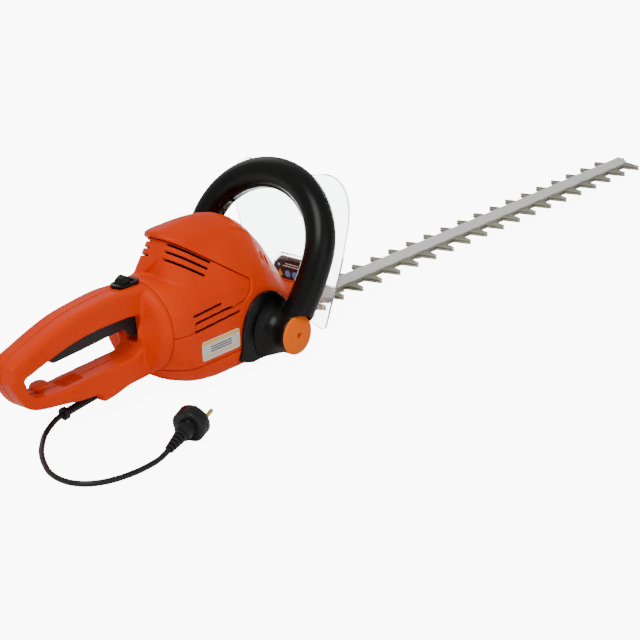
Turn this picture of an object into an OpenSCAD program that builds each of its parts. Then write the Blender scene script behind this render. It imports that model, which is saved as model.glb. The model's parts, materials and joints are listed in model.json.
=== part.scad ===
// Electric hedge trimmer: a double-acting blade, a looped front handle,
// a closed rear handle with a long trigger, and a short mains lead.
// X points along the blade, Z up; the origin is on the base, under the crank.

/* [Blades] */
// Distance from one tooth to the next
tooth_pitch = 35; // [30:1:38]
// Teeth on the near side of each blade
tooth_count = 20; // [8:1:22]
// How far a tooth tip stands from the centre line
tooth_reach = 31; // [24:1:36]
// Width of a tooth at its root
tooth_root_w = 15; // [11:1:17]
// Radius of a tooth's round tip
tooth_tip_r = 2.5; // [1.5:0.5:4]
// Thickness of each blade
blade_t = 2.8; // [2:0.1:3.6]
// Width of the stiffening bar on top of the blades
bar_w = 18; // [15:1:22]
// Height of the stiffening bar
bar_h = 6.5; // [5:0.5:8]
// Height of the cutting plane above the ground
cut_z = 26; // [25:0.5:28]
// Shoulder screws that hold the blades to the bar
screw_count = 6; // [4:1:9]

/* [Drive] */
// Throw of each eccentric, half of a blade's stroke
throw = 6; // [4:0.5:7]
// Diameter of the crank shaft and of the motor shaft
shaft_d = 8; // [6:0.5:9]
// Gear tooth size (module)
gear_module = 1.25; // [1:0.05:1.3]
// Teeth on the crank gear
gear_teeth = 44; // [40:4:44]
// Teeth on the motor pinion
pinion_teeth = 12; // [12:1:14]
// Width of the crank gear
gear_w = 8; // [6:1:8]
// Outer diameter of the ball bearings
bearing_d = 22; // [19:1:24]
// Width of the ball bearings
bearing_w = 7; // [5:1:7]
// Outer diameter of the motor's field core
stator_d = 76; // [66:1:80]
// Length of the motor's field core
stator_len = 34; // [28:1:38]

/* [Body] */
// Half width of the body at its flat sides
body_half_w = 55; // [52:1:64]
// Wall of the moulded covers
wall = 3; // [2:0.25:3.5]
// Gap at the seams between covers
seam = 0.4; // [0.2:0.1:0.8]
// Radius of the round joint between body and rear handle
flange_r = 51; // [46:1:53]
// Width of one ventilation slot
vent_h = 2.6; // [1.5:0.1:4]

/* [Rear handle] */
// Width of the grip
grip_w = 36; // [32:1:42]
// Width of the trigger
trigger_w = 15; // [12:1:17]
// Diameter of the trigger's hinge pin
trigger_pin_d = 5; // [4:0.5:6]
// Travel of the lock-off button
lock_travel = 6; // [4:0.5:7]

/* [Loop handle] */
// Half width of the loop at its widest
loop_a = 88; // [80:1:96]
// Height of the loop's widest point above its hubs, along the loop
loop_low = 84.5; // [74:0.5:90]
// Height of the loop's crown above its widest point
loop_top = 84.5; // [74:0.5:90]
// Lean of the loop from the ground
loop_lean = 64; // [55:1:80]
// Radius of the loop's tube
loop_r = 17; // [15:0.5:18]
// Radius of the hub at each end of the loop
hub_r = 22.5; // [20:0.5:25]
// Length of each hub
hub_len = 28; // [24:1:34]
// Travel of the loop's switch bar
switch_travel = 3; // [2:0.5:3.5]

/* [Guard] */
// Thickness of the clear hand guard
guard_t = 3.5; // [2.5:0.5:4]
// Height of the guard's top edge
guard_top = 193; // [170:1:205]

/* [Mains lead] */
// Diameter of the lead
cord_d = 6; // [5:0.5:8]
// Diameter of the plug's round body
plug_d = 37; // [34:0.5:40]

/* [Hidden] */
$fn = 48;
eps = 0.01;

// clearances
slide_gap = 0.3;      // between pieces that slide or lie side by side
run_gap = 0.05;       // around a running shaft
hole_gap = 0.1;       // around a screw in its hole

// heights of the blade stack
upper_z = cut_z + slide_gap/2;
lower_z = cut_z - slide_gap/2 - blade_t;
bar_z = upper_z + blade_t + slide_gap;
spine_w = bar_w + 2;

// blade lengths
first_tooth_x = 130;
last_tooth_x = first_tooth_x + (tooth_count - 1)*tooth_pitch;
blade_end_x = last_tooth_x + tooth_root_w/2;
bar_end_x = last_tooth_x + tooth_tip_r;
bar_x0 = 36;
bar_len = bar_end_x - bar_x0;
shoulder_r = 4;
thread_r = 2.5;
head_r = 7;
head_t = 3;
function screw_x(i) = bar_x0 + 8 + i*(bar_len - 24)/(screw_count - 1);

// drive
shaft_r = shaft_d/2;
ecc_r = throw + shaft_r + 2;
yoke_r = ecc_r + throw + slide_gap;
yoke_wall = 5;
axis_gap = gear_module*(gear_teeth + pinion_teeth)/2;
motor_x = -axis_gap;
gear_tip_r = gear_module*(gear_teeth/2 + 1);
pinion_tip_r = gear_module*(pinion_teeth/2 + 1);
bearing_r = bearing_d/2;
case_x0 = motor_x - 21;
case_x1 = 52;
case_y = 42;
case_bottom = 13;
cover_top = 20;
gear_z = 38;
case_ceiling = gear_z + gear_w + 2;
case_top = case_ceiling + 4;
crank_bearing_z = case_ceiling;
motor_bearing_z = case_top + 1.4;
boss_top = motor_bearing_z + bearing_w + 1.5;
crank_boss_top = crank_bearing_z + bearing_w + 1;
boss_r = bearing_r + 3;

// motor stack, from the fan up
stator_r = stator_d/2;
frame_r = stator_r + 3;
end_r = stator_r - 6;
post_z = case_top;
frame_z = case_top + 6;
fan_z = boss_top + 1.5;
fan_h = 10;
core_z = fan_z + fan_h + 9;
core_top = core_z + stator_len;
coil_h = 7;
comm_z = core_top + coil_h + 2;
comm_h = 10;
comm_r = 12;
frame_top = comm_z + comm_h + 5;
top_bearing_z = frame_top - 0.5;
rotor_r = stator_r - 14.8;

// body outlines
deck_seam_z = 32;
nose_x = 111.4;
beak_x = -11.5;
beak_z = 106;
beak_slope = 35.5;
beak_drop = 3.4;
vent_pitch = 7.6;
rear_rib = 10.5;
dome_rear_x = -102;
dome_corner_r = 18;
body_side = [[-130, 26], [-112, 12], [-90, 3.5], [-68, 0], [8, 0], [28, 4], [60, 10], [nose_x, 17],
    [nose_x, 50], [90, 64], [71, 84], [49, 114], [32, 138], [14, 160], [-12, 173], [-47, 179],
    [-80, 176.5], [dome_rear_x, 170], [dome_rear_x, 128.5], [-130, 128]];
low_side = [[-131, -5], [-131, 128.5], [-110, 126], [-76, 119], [-41, 111], [-14, 103], [nose_x, 70],
    [nose_x + 5, -5]];
body_half_plan = [[nose_x, 34], [80, body_half_w - 10], [48, body_half_w], [-104, body_half_w],
    [-120, body_half_w - 3], [-130, flange_r - 3]];
body_half_section = [[0, 180], [body_half_w - 42, 177], [body_half_w - 31, 171], [body_half_w - 25, 164],
    [body_half_w, 108], [body_half_w, 20], [body_half_w - 5, 8], [body_half_w - 15, 0],
    [0, 0]];
rear_panel = [[-150, 72.4], [-104, 72.4], [-100, 83.4], [-45, 83.4], [-26, 86], [-17, 91], [-13, 99],
    [beak_x, beak_z], [beak_x - 140*cos(beak_slope), beak_z + 140*sin(beak_slope)]];

// rear handle outlines
handle_outer = [[-324, 95], [-296, 106], [-280, 112], [-248, 122], [-216, 127], [-184, 130], [-165, 131],
    [-131, 128], [-131, 26], [-165, 24], [-201, 17], [-207, 27], [-230, 29], [-262, 34], [-288, 38],
    [-303, 44], [-315, 58], [-325, 80]];
handle_opening = [[-308, 78], [-278, 87], [-241, 96], [-202, 100], [-163, 100], [-150, 98],
    [-147, 70], [-152, 60], [-160, 54], [-205, 52], [-250, 50], [-290, 52], [-302, 58]];
flange_z = 77;
flange_x = -130.4;
grip_half = grip_w/2;
handle_posts = [[-314, 84], [-216, 41], [-140, 38]];
post_r = 4.5;
handle_screw_r = 2;
screw_seat_y = 13;

// trigger
trigger_pivot = [-258, 101];
trigger_side = [[-267, 96], [-266, 82], [-260, 77.5], [-219, 80], [-180, 82.8], [-160, 83.5],
    [-152, 79], [-147, 71.5], [-141, 71.5], [-139.5, 76], [-139.5, 98], [-163, 107], [-202, 107], [-241, 104],
    [-250, 106], [-262, 106]];

// lock-off switch
bezel_x0 = -166;
bezel_x1 = -131.6;
bezel_z = 129.6;
bezel_top = 133;
button_x0 = -159;
button_len = 13;
button_top = 140;

// loop handle
hub_x = 20;
hub_z = 39;
bracket_t = 3;
bracket_y = body_half_w + slide_gap;
hub_y0 = bracket_y + bracket_t + slide_gap;
hub_y1 = hub_y0 + hub_len;
leg_y = hub_y1 - loop_r + 3.5;
leg_angle = acos(leg_y/loop_a);
loop_up = [cos(loop_lean), 0, sin(loop_lean)];
loop_front = [sin(loop_lean), 0, -cos(loop_lean)];
hub_bolt_r = 4;
bracket_side = [[-20, 12], [23, 15], [42, 24], [46, 44], [40, 62], [27, 79], [11, 87], [-8, 86], [-23, 74],
    [-33, 54], [-36, 30], [-39, 19]];

// guard
guard_x = nose_x + slide_gap;
guard_lip_x = guard_x + guard_t;
bracket_plate_t = 3;
guard_half = [[0, guard_top - 7], [36, guard_top - 3.5], [52, guard_top], [69, guard_top - 1],
    [81, guard_top - 10], [87.5, guard_top - 26], [87.5, guard_top - 47], [80, guard_top - 80],
    [73, guard_top - 107], [65.5, 63.5], [55.5, 34], [48, 11], [42.5, 5.6], [28.6, 9.4], [24, 11], [24, 40],
    [0, 40]];
label_half = [[0, 82], [20, 82], [30, 73], [33, 60], [33, 33], [25, 33], [25, 41], [0, 41]];
lip_half = [[0, 86], [21, 86], [35, 74.5], [36, 60], [36, 41], [0, 41]];
guard_screw_at = [[-28, 37], [28, 37], [-12, 45.5], [12, 45.5]];

// mains lead
cord_r = cord_d/2;
relief_from = [-199, 0, 21.5];
relief_to = [-249, 0, 15.5];
relief_len = norm(relief_to - relief_from);
relief_dir = (relief_to - relief_from)/relief_len;
relief_r = 4.5;
plug_tilt = 14;
plug_turn = 13;
plug_tail = [-230, -137, 7];
plug_dir = [cos(plug_tilt)*cos(plug_turn), cos(plug_tilt)*sin(plug_turn), sin(plug_tilt)];
plug_disc_at = 37;
plug_disc_t = 16;
plug_face = plug_disc_at + plug_disc_t;
pin_r = 2.4;
pin_len = 19;
pin_spacing = 19;
cord_route = [[-249, 0, 15.5], [-258, 0, 13], [-268, -1, 8.5], [-280, -6, 4.5], [-294, -18, 3], [-309, -34, 3],
    [-323, -54, 3], [-334, -75, 3], [-338, -96, 3], [-335, -113, 3], [-326, -126, 3], [-312, -135, 3],
    [-295, -140, 3], [-277, -142, 3], [-260, -142, 3.4], [-245, -140.5, 4.4], [-230, -137, 7]];

// ---- helpers ----
function mirrored(half) = concat(half, [for (i = [len(half) - 1 : -1 : 0]) if (half[i][0] != 0)
    [-half[i][0], half[i][1]]]);
function unit(v) = v/norm(v);
function pick(list, i) = list[max(0, min(len(list) - 1, i))];
function curve_point(a, b, c, d, t) = 0.5*((2*b) + (c - a)*t + (2*a - 5*b + 4*c - d)*t*t
    + (3*b - a - 3*c + d)*t*t*t);
function smooth_path(pts, steps) = [for (i = [0 : len(pts) - 2]) for (k = [0 : steps - 1])
    curve_point(pick(pts, i - 1), pts[i], pts[i + 1], pick(pts, i + 2), k/steps), pts[len(pts) - 1]];
function heading(path, i) = unit(pick(path, i + 1) - pick(path, i - 1));
function arc(r, a0, a1, steps) = [for (i = [0 : steps]) let (a = a0 + (a1 - a0)*i/steps) [r*cos(a), r*sin(a)]];

// a solid swept from rings of points, all with as many points as the first
module skin(rings) {
    n = len(rings[0]);
    last = len(rings) - 1;
    points = [for (ring = rings) for (p = ring) p];
    sides = [for (i = [0 : last - 1]) for (k = [0 : n - 1])
        [i*n + k, i*n + (k + 1) % n, (i + 1)*n + (k + 1) % n, (i + 1)*n + k]];
    first_cap = [for (k = [n - 1 : -1 : 0]) k];
    last_cap = [for (k = [0 : n - 1]) last*n + k];
    polyhedron(points, concat([first_cap], sides, [last_cap]));
}

// an outline in X and Z, as wide as w across the middle plane
module slab(outline, w) {
    rotate([90, 0, 0]) linear_extrude(w, center = true) polygon(outline);
}

// a child that stands on Z is laid along a direction
module along(start, direction) {
    translate(start) rotate([0, acos(direction[2]), atan2(direction[1], direction[0])]) children();
}

module both_sides() {
    children();
    mirror([0, 1, 0]) children();
}

// a cylinder on the Y axis, from y0 to y1
module across(x, z, r, y0, y1) {
    translate([x, y0, z]) rotate([-90, 0, 0]) cylinder(h = y1 - y0, r = r);
}

// ---- body covers ----
module dome_plan() {
    near = body_half_w - dome_corner_r;
    polygon(concat([for (a = [90 : 10 : 180]) [dome_rear_x + dome_corner_r*(1 + cos(a)), near + dome_corner_r*sin(a)]],
        [for (a = [180 : 10 : 270]) [dome_rear_x + dome_corner_r*(1 + cos(a)), dome_corner_r*sin(a) - near]],
        [[nose_x + 1, -body_half_w], [nose_x + 1, body_half_w]]));
}

module body_form(inset) {
    intersection() {
        union() {
            translate([0, 0, 40]) linear_extrude(200) offset(delta = -inset) dome_plan();
            rotate([90, 0, 0]) linear_extrude(200, center = true) offset(delta = -inset) polygon(low_side);
        }
        rotate([90, 0, 0]) linear_extrude(200, center = true) offset(delta = -inset) polygon(body_side);
        translate([0, 0, -5]) linear_extrude(200) rotate(90) mirror([0, 1]) offset(delta = -inset)
            polygon(mirrored([for (p = body_half_plan) [p[1], p[0]]]));
        rotate([90, 0, 90]) linear_extrude(400, center = true) offset(delta = -inset)
            polygon(mirrored(body_half_section));
    }
}

module body_shell(recess) {
    difference() {
        body_form(recess);
        body_form(recess + wall);
    }
}

module upper_vents() {
    for (i = [0 : 2])
        translate([beak_x, 0, beak_z]) rotate([0, beak_slope, 0]) both_sides()
            translate([-118, rear_rib, -beak_drop - vent_h/2 - vent_pitch*i]) cube([48, 60, vent_h]);
}

module lower_vents() {
    for (v = [[-104, -60, 91], [-102, -46, 82.5], [-103, -33, 73]])
        translate([v[0], -body_half_w - 1, v[2]]) cube([v[1] - v[0], 2*body_half_w + 2, vent_h]);
}

module main_housing() {
    color("orangered") difference() {
        body_shell(0);
        translate([-200, -100, -10]) cube([400, 200, deck_seam_z + 10]);
        rotate([90, 0, 0]) linear_extrude(200, center = true) offset(delta = seam) polygon(rear_panel);
        lower_vents();
        translate([-150, 0, flange_z]) rotate([0, 90, 0]) cylinder(h = 30, r = flange_r - 9);
        translate([nose_x - 10, -spine_w/2 - 3, 0]) cube([20, spine_w + 6, bar_z + bar_h + 2]);
        for (x = [9, 17]) both_sides() translate([x, 30, 122]) cube([2.4, 30, 9]);
        across(hub_x, hub_z, hub_bolt_r + hole_gap, -100, 100);
        for (p = guard_screw_at) translate([nose_x - 15, p[0], p[1]]) rotate([0, 90, 0])
            cylinder(h = 20, r = thread_r);
    }
}

module rear_cover() {
    color("orangered") difference() {
        intersection() {
            body_shell(1.6);
            slab(rear_panel, 200);
        }
        lower_vents();
        upper_vents();
        translate([-150, 0, flange_z]) rotate([0, 90, 0]) cylinder(h = 30, r = flange_r - 9);
    }
}

module case_corners() {
    for (x = [case_x0 + 8, case_x1 - 8], y = [-case_y + 7, case_y - 7]) translate([x, y, 0]) children();
}

module bottom_cover() {
    color("orangered") difference() {
        union() {
            intersection() {
                body_shell(0);
                translate([-200, -100, -10]) cube([400, 200, deck_seam_z - seam + 10]);
            }
            case_corners() translate([0, 0, 1]) cylinder(h = case_bottom - 1, r = 6);
        }
        translate([-150, 0, flange_z]) rotate([0, 90, 0]) cylinder(h = 30, r = flange_r - 9);
        translate([nose_x - 10, -spine_w/2 - 3, cut_z - 9]) cube([20, spine_w + 6, 20]);
        case_corners() translate([0, 0, -1]) cylinder(h = 30, r = thread_r + hole_gap);
        case_corners() translate([0, 0, -1]) cylinder(h = 4, r = 5);
        across(hub_x, hub_z, hub_bolt_r + hole_gap, -100, 100);
        for (y = [-20, -10, 0, 10, 20]) translate([-58, y - 1.5, -1]) cube([26, 3, wall + 2]);
    }
}

module bottom_screws() {
    color("silver") case_corners() {
        translate([0, 0, 1]) cylinder(h = 2, r = 4.6);
        translate([0, 0, 3 - eps]) cylinder(h = case_bottom + 6 - 3, r = thread_r);
    }
}

// ---- rear handle ----
module trigger_slot() {
    slab([[-270, 70], [-134, 64], [-134, 118], [-225, 118], [-270, 112]], trigger_w + 2*slide_gap);
}

module handle_form() {
    slab(handle_outer, grip_w);
    translate([-148, 0, flange_z]) rotate([0, 90, 0]) cylinder(h = 148 + flange_x - 5, r1 = 37, r2 = flange_r);
    translate([flange_x - 5 - eps, 0, flange_z]) rotate([0, 90, 0]) cylinder(h = 5 + eps, r = flange_r);
}

module handle_hollow() {
    rotate([90, 0, 0]) linear_extrude(grip_w - 2*wall, center = true) difference() {
        offset(delta = -wall) polygon(handle_outer);
        offset(delta = wall) polygon(handle_opening);
    }
    translate([-143, 0, flange_z]) rotate([0, 90, 0]) cylinder(h = 30, r1 = 36, r2 = flange_r - 4);
}

module handle_shell() {
    difference() {
        handle_form();
        difference() {
            handle_hollow();
            rotate([90, 0, 0]) linear_extrude(2*flange_r, center = true) offset(delta = wall)
                polygon(handle_opening);
            for (p = handle_posts) across(p[0], p[1], post_r, -flange_r, flange_r);
        }
        slab(handle_opening, 200);
        trigger_slot();
        translate([bezel_x0 + 3, -8, bezel_z - 9]) cube([bezel_x1 - bezel_x0 - 6, 16, 20]);
        translate([bezel_x0 - slide_gap, -9.5 - slide_gap, bezel_z])
            cube([bezel_x1 - bezel_x0 + 2*slide_gap, 19 + 2*slide_gap, 20]);
        for (p = handle_posts) across(p[0], p[1], handle_screw_r + hole_gap, -14, 60);
        for (p = handle_posts) across(p[0], p[1], 3.6, screw_seat_y, 60);
        across(trigger_pivot[0], trigger_pivot[1], trigger_pin_d/2, -grip_half + 2, grip_half - 2);
        along(relief_from - 4*relief_dir, relief_dir) cylinder(h = 30, r = relief_r + hole_gap);
    }
}

module handle_left() {
    color("orangered") intersection() {
        handle_shell();
        translate([-400, 0.1, -50]) cube([300, 100, 250]);
    }
}

module handle_right() {
    color("orangered") difference() {
        union() {
            intersection() {
                handle_shell();
                translate([-400, -100.1, -50]) cube([300, 100, 250]);
            }
            translate([-223, -grip_half + wall - eps, 112]) cube([18, grip_half - wall - 6.3, 6]);
        }
    }
}

module handle_screws() {
    color("dimgray") for (p = handle_posts) {
        across(p[0], p[1], handle_screw_r, -screw_seat_y, screw_seat_y + eps);
        across(p[0], p[1], 3.5, screw_seat_y, screw_seat_y + 2.5);
    }
}

module trigger() {
    color("dimgray") difference() {
        slab(trigger_side, trigger_w);
        across(trigger_pivot[0], trigger_pivot[1], trigger_pin_d/2 + run_gap, -20, 20);
        slab([[-230, 92], [-170, 94], [-170, 110], [-230, 110]], trigger_w - 5);
    }
}

module trigger_pin() {
    color("silver") across(trigger_pivot[0], trigger_pivot[1], trigger_pin_d/2, -grip_half + 2, grip_half - 2);
}

module power_switch() {
    color("black") {
        translate([-226, -6, 112]) cube([24, 12, 10]);
        for (x = [-223, -207]) translate([x, -2.5, 122 - eps]) cube([2, 5, 1]);
    }
}

module lock_off_bezel() {
    mid = (bezel_x0 + bezel_x1)/2;
    reach = (bezel_x1 - bezel_x0)/2 - 9.5;
    color("black") difference() {
        translate([mid, 0, bezel_z]) union() {
            for (side = [-1, 1]) translate([side*reach, 0, 0]) cylinder(h = bezel_top - bezel_z, r = 9.5);
            translate([-reach, -9.5, 0]) cube([2*reach, 19, bezel_top - bezel_z]);
        }
        translate([button_x0 - slide_gap, -6 - slide_gap, bezel_z - 5])
            cube([button_len + lock_travel + 2*slide_gap, 12 + 2*slide_gap, 20]);
    }
}

module lock_off_button() {
    color("black") union() {
        slab([[button_x0, bezel_z - 4], [button_x0 + button_len, bezel_z - 4], [button_x0 + button_len, bezel_top],
            [button_x0 + button_len - 2, button_top], [button_x0 + 2, button_top - 2],
            [button_x0, bezel_top + 1]], 12);
        translate([button_x0 - 1.5, -7.5, bezel_z - 4]) cube([button_len + 3, 15, 3.5]);
    }
}

// ---- loop handle ----
module bracket() {
    color("black") difference() {
        union() {
            translate([0, -bracket_y, 0]) rotate([90, 0, 0]) linear_extrude(bracket_t) polygon(bracket_side);
        }
        across(hub_x, hub_z, hub_bolt_r + hole_gap, -100, 100);
    }
}

module bracket_right() {
    bracket();
}

module bracket_left() {
    mirror([0, 1, 0]) bracket();
}

module hub_bolts() {
    color("silver") both_sides() {
        across(hub_x, hub_z, hub_bolt_r, 46, hub_y1 - 5 + eps);
        across(hub_x, hub_z, 7, hub_y1 - 5, hub_y1 - 1);
    }
}

module hub_nuts() {
    color("silver") both_sides() difference() {
        translate([hub_x, 46, hub_z]) rotate([-90, 0, 0]) cylinder(h = body_half_w - wall - 46, r = 7, $fn = 6);
        across(hub_x, hub_z, hub_bolt_r, 40, 60);
    }
}

// a point of the loop's centre line; angle 0 and 180 are its widest points
function loop_point(a) = let (
        rise = sin(a) >= 0 ? loop_top*sin(a) : loop_low*sin(a)/sin(leg_angle))
    [hub_x, 0, hub_z] + (loop_low + rise)*loop_up + [0, loop_a*cos(a), 0];
function loop_ring(profile, a) = let (
        t = unit(loop_point(a + 0.1) - loop_point(a - 0.1)),
        n = cross(t, loop_front))
    [for (p = profile) loop_point(a) + p[0]*n + p[1]*loop_front];
module loop_sweep(profile, a0, a1, steps) {
    skin([for (i = [0 : steps]) loop_ring(profile, a0 + (a1 - a0)*i/steps)]);
}

groove_half = 6;
groove_floor = 10.5;
bar_proud = 1.5;
shell_wall = 3;
groove_angle = asin(groove_half/loop_r);
cavity_r = loop_r - shell_wall;
floor_in = groove_floor - 2;
switch_span = 48;
shell_profile = concat(arc(loop_r, 0.5, 180 - groove_angle, 12),
    [[-groove_floor, groove_half], [-groove_floor, 0.15], [-floor_in, 0.15]],
    arc(cavity_r, acos(-floor_in/cavity_r), 0.7, 8));
strip_profile = [[-loop_r - bar_proud, -groove_half + slide_gap], [-loop_r - bar_proud, groove_half - slide_gap],
    [-groove_floor - switch_travel - 0.4, groove_half - slide_gap],
    [-groove_floor - switch_travel - 0.4, -groove_half + slide_gap]];

module hub_space() {
    both_sides() across(hub_x, hub_z, hub_r + 0.05, hub_y0 - 8, hub_y1 + 10);
}

module loop_shell(flip) {
    profile = flip ? [for (i = [len(shell_profile) - 1 : -1 : 0]) [shell_profile[i][0], -shell_profile[i][1]]]
        : shell_profile;
    difference() {
        loop_sweep(profile, -leg_angle, 180 + leg_angle, 44);
        hub_space();
    }
}

module loop_front_shell() {
    color("black") loop_shell(false);
}

module loop_rear_shell() {
    color("black") loop_shell(true);
}

module loop_leg_strips() {
    seat = [for (p = strip_profile) [p[0] < -loop_r ? -loop_r : -groove_floor - 0.1, p[1]]];
    color("black") difference() {
        union() {
            loop_sweep(seat, -leg_angle, 90 - switch_span - 4, 16);
            loop_sweep(seat, 90 + switch_span + 4, 180 + leg_angle, 16);
        }
        hub_space();
    }
}

module loop_switch_bar() {
    color("dimgray") loop_sweep(strip_profile, 90 - switch_span, 90 + switch_span, 24);
}

module loop_hub() {
    color("black") difference() {
        across(hub_x, hub_z, hub_r, hub_y0, hub_y1);
        across(hub_x, hub_z, hub_bolt_r + hole_gap, 0, 100);
        across(hub_x, hub_z, 8, hub_y1 - 5, 100);
    }
}

module loop_hub_left() {
    loop_hub();
}

module loop_hub_right() {
    mirror([0, 1, 0]) loop_hub();
}

module end_cap() {
    color("orange") translate([hub_x, hub_y1 + slide_gap, hub_z]) rotate([-90, 0, 0])
        rotate_extrude($fn = 64) polygon([[2.5, 0], [hub_r, 0], [hub_r, 1.8], [hub_r - 1.5, 2.8], [hub_r - 8, 3.6],
            [8, 4.1], [2.5, 4.3]]);
}

module end_cap_left() {
    end_cap();
}

module end_cap_right() {
    mirror([0, 1, 0]) end_cap();
}

// ---- guard ----
module guard_sheet(half, x0, x1) {
    translate([x0, 0, 0]) rotate([90, 0, 90]) linear_extrude(x1 - x0) polygon(mirrored(half));
}

module guard() {
    color("lightblue", 0.4) difference() {
        union() {
            guard_sheet(guard_half, guard_x, guard_lip_x);
            difference() {
                guard_sheet(lip_half, guard_lip_x - eps, guard_lip_x + 4);
                translate([guard_lip_x, 0, 0]) rotate([90, 0, 90]) linear_extrude(20) offset(delta = 1)
                    polygon(mirrored(label_half));
            }
        }
        for (p = guard_screw_at) translate([guard_x - 5, p[0], p[1]]) rotate([0, 90, 0])
            cylinder(h = 20, r = thread_r + hole_gap);
    }
}

module guard_bracket() {
    color("black") difference() {
        guard_sheet(label_half, guard_lip_x + slide_gap, guard_lip_x + slide_gap + bracket_plate_t);
        for (p = guard_screw_at) translate([guard_x - 5, p[0], p[1]]) rotate([0, 90, 0])
            cylinder(h = 20, r = thread_r + hole_gap);
    }
}

module warning_label() {
    color("dimgray") guard_sheet([[0, 80], [19, 80], [27, 72.5], [27, 56], [0, 56]], guard_x - 0.6, guard_x);
}

module guard_screws() {
    reach = guard_lip_x + slide_gap + bracket_plate_t - nose_x + 6;
    color("silver") for (p = guard_screw_at) translate([nose_x - 6, p[0], p[1]]) rotate([0, 90, 0]) {
        cylinder(h = reach + eps, r = thread_r);
        translate([0, 0, reach]) cylinder(h = 2.5, r = 4.5);
    }
}

module side_sticker() {
    color("gold") translate([0, -body_half_w, 0]) rotate([90, 0, 0]) linear_extrude(0.5) translate([-66, 47.5]) {
        square([52, 22], center = true);
        square([58, 16], center = true);
        for (x = [-26, 26], z = [-8, 8]) translate([x, z]) circle(r = 3, $fn = 24);
    }
}

module side_sticker_right() {
    side_sticker();
}

module side_sticker_left() {
    mirror([0, 1, 0]) side_sticker();
}

// ---- gear case ----
module gear_case() {
    color("gainsboro") difference() {
        union() {
            translate([case_x0, -case_y, cover_top]) cube([case_x1 - case_x0, 2*case_y, case_top - cover_top]);
            translate([0, 0, case_top - eps]) cylinder(h = crank_boss_top - case_top, r = boss_r);
            translate([motor_x, 0, case_top - eps]) cylinder(h = boss_top - case_top, r = boss_r);
        }
        translate([0, 0, cover_top - 1]) cylinder(h = case_ceiling - cover_top + 1, r = gear_tip_r + 1.5);
        translate([motor_x, 0, cover_top - 1]) cylinder(h = motor_bearing_z - cover_top + 1, r = bearing_r - 1);
        translate([motor_x, 0, motor_bearing_z]) cylinder(h = 30, r = bearing_r);
        translate([0, 0, crank_bearing_z - 1]) cylinder(h = 30, r = bearing_r);
        translate([-yoke_r - throw - yoke_wall - throw - 2, -yoke_r - yoke_wall - 2, cover_top - 1])
            cube([200, 2*(yoke_r + yoke_wall + 2), bar_z - cover_top + 1]);
        translate([bar_x0 - 4, -bar_w/2 - hole_gap, cover_top]) cube([100, bar_w + 2*hole_gap,
            bar_z + bar_h + hole_gap - cover_top]);
        case_corners() translate([0, 0, cover_top - 1]) cylinder(h = 30, r = thread_r);
    }
}

module gear_case_cover() {
    color("gainsboro") difference() {
        translate([case_x0, -case_y, case_bottom]) cube([case_x1 - case_x0, 2*case_y, cover_top - case_bottom]);
        translate([0, 0, case_bottom - 1]) cylinder(h = 20, r = bearing_r);
        case_corners() translate([0, 0, case_bottom - 1]) cylinder(h = 30, r = thread_r + hole_gap);
        translate([screw_x(0) - throw - head_r - 4, -head_r - 2, lower_z - slide_gap - head_t - 1])
            cube([60, 2*head_r + 4, 20]);
    }
}

module ball_bearing(x, z) {
    translate([x, 0, z]) difference() {
        cylinder(h = bearing_w, r = bearing_r - 0.02);
        translate([0, 0, -1]) cylinder(h = bearing_w + 2, r = shaft_r + run_gap);
    }
}

module bearings() {
    color("silver") {
        ball_bearing(0, case_bottom);
        ball_bearing(0, crank_bearing_z);
        ball_bearing(motor_x, motor_bearing_z);
        ball_bearing(motor_x, top_bearing_z);
    }
}

module crank_shaft() {
    color("silver") translate([0, 0, case_bottom + 0.2])
        cylinder(h = crank_bearing_z + bearing_w - case_bottom - 0.2, r = shaft_r);
}

// involute gear outline
function inv(a) = tan(a) - a*PI/180;
function flank_angle(teeth, r) = let (
        base = gear_module*teeth/2*cos(20),
        a = r > base ? acos(base/r) : 0)
    90/teeth - 0.55 * 180/PI/(gear_module*teeth) * 0.35 + (inv(20) - inv(a))*180/PI;
function gear_outline(teeth, turn) = let (
        root = gear_module*(teeth/2 - 1.2),
        mid = gear_module*teeth/2,
        tip = gear_module*(teeth/2 + 0.85),
        low = max(root + 0.1, gear_module*teeth/2*cos(20)))
    [for (i = [0 : teeth - 1]) let (a = 360*i/teeth + turn)
        each [for (p = [[root, -flank_angle(teeth, low) - 1], [low, -flank_angle(teeth, low)],
            [mid, -flank_angle(teeth, mid)], [tip, -flank_angle(teeth, tip)], [tip, flank_angle(teeth, tip)],
            [mid, flank_angle(teeth, mid)], [low, flank_angle(teeth, low)], [root, flank_angle(teeth, low) + 1]])
            [p[0]*cos(a + p[1]), p[0]*sin(a + p[1])]]];

module crank_gear() {
    color("silver") difference() {
        translate([0, 0, gear_z]) linear_extrude(gear_w) polygon(gear_outline(gear_teeth, 180));
        translate([0, 0, gear_z - 1]) cylinder(h = 20, r = shaft_r);
    }
}

module pinion() {
    color("silver") translate([motor_x, 0, gear_z]) difference() {
        linear_extrude(gear_w) polygon(gear_outline(pinion_teeth, 180/pinion_teeth));
        translate([0, 0, -1]) cylinder(h = 20, r = shaft_r);
    }
}

module eccentrics() {
    color("silver") difference() {
        union() {
            translate([0, throw, upper_z + 0.1]) cylinder(h = blade_t - 0.2, r = ecc_r);
            translate([0, -throw, lower_z + 0.1]) cylinder(h = blade_t - 0.2, r = ecc_r);
            translate([0, 0, cover_top + 0.6]) cylinder(h = gear_z - cover_top - 0.6, r = shaft_r + 1.5);
        }
        translate([0, 0, cover_top - 5]) cylinder(h = 60, r = shaft_r);
    }
}

// ---- motor ----
module motor_post_places() {
    post_dx = 15;
    post_dy = sqrt(pow(frame_r - 1.5, 2) - post_dx*post_dx);
    for (x = [-post_dx, post_dx], y = [-post_dy, post_dy]) translate([motor_x + x, y, 0]) children();
}

module motor_posts() {
    color("gainsboro") motor_post_places() translate([0, 0, post_z]) cylinder(h = frame_z - post_z, r = 3);
}

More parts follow.
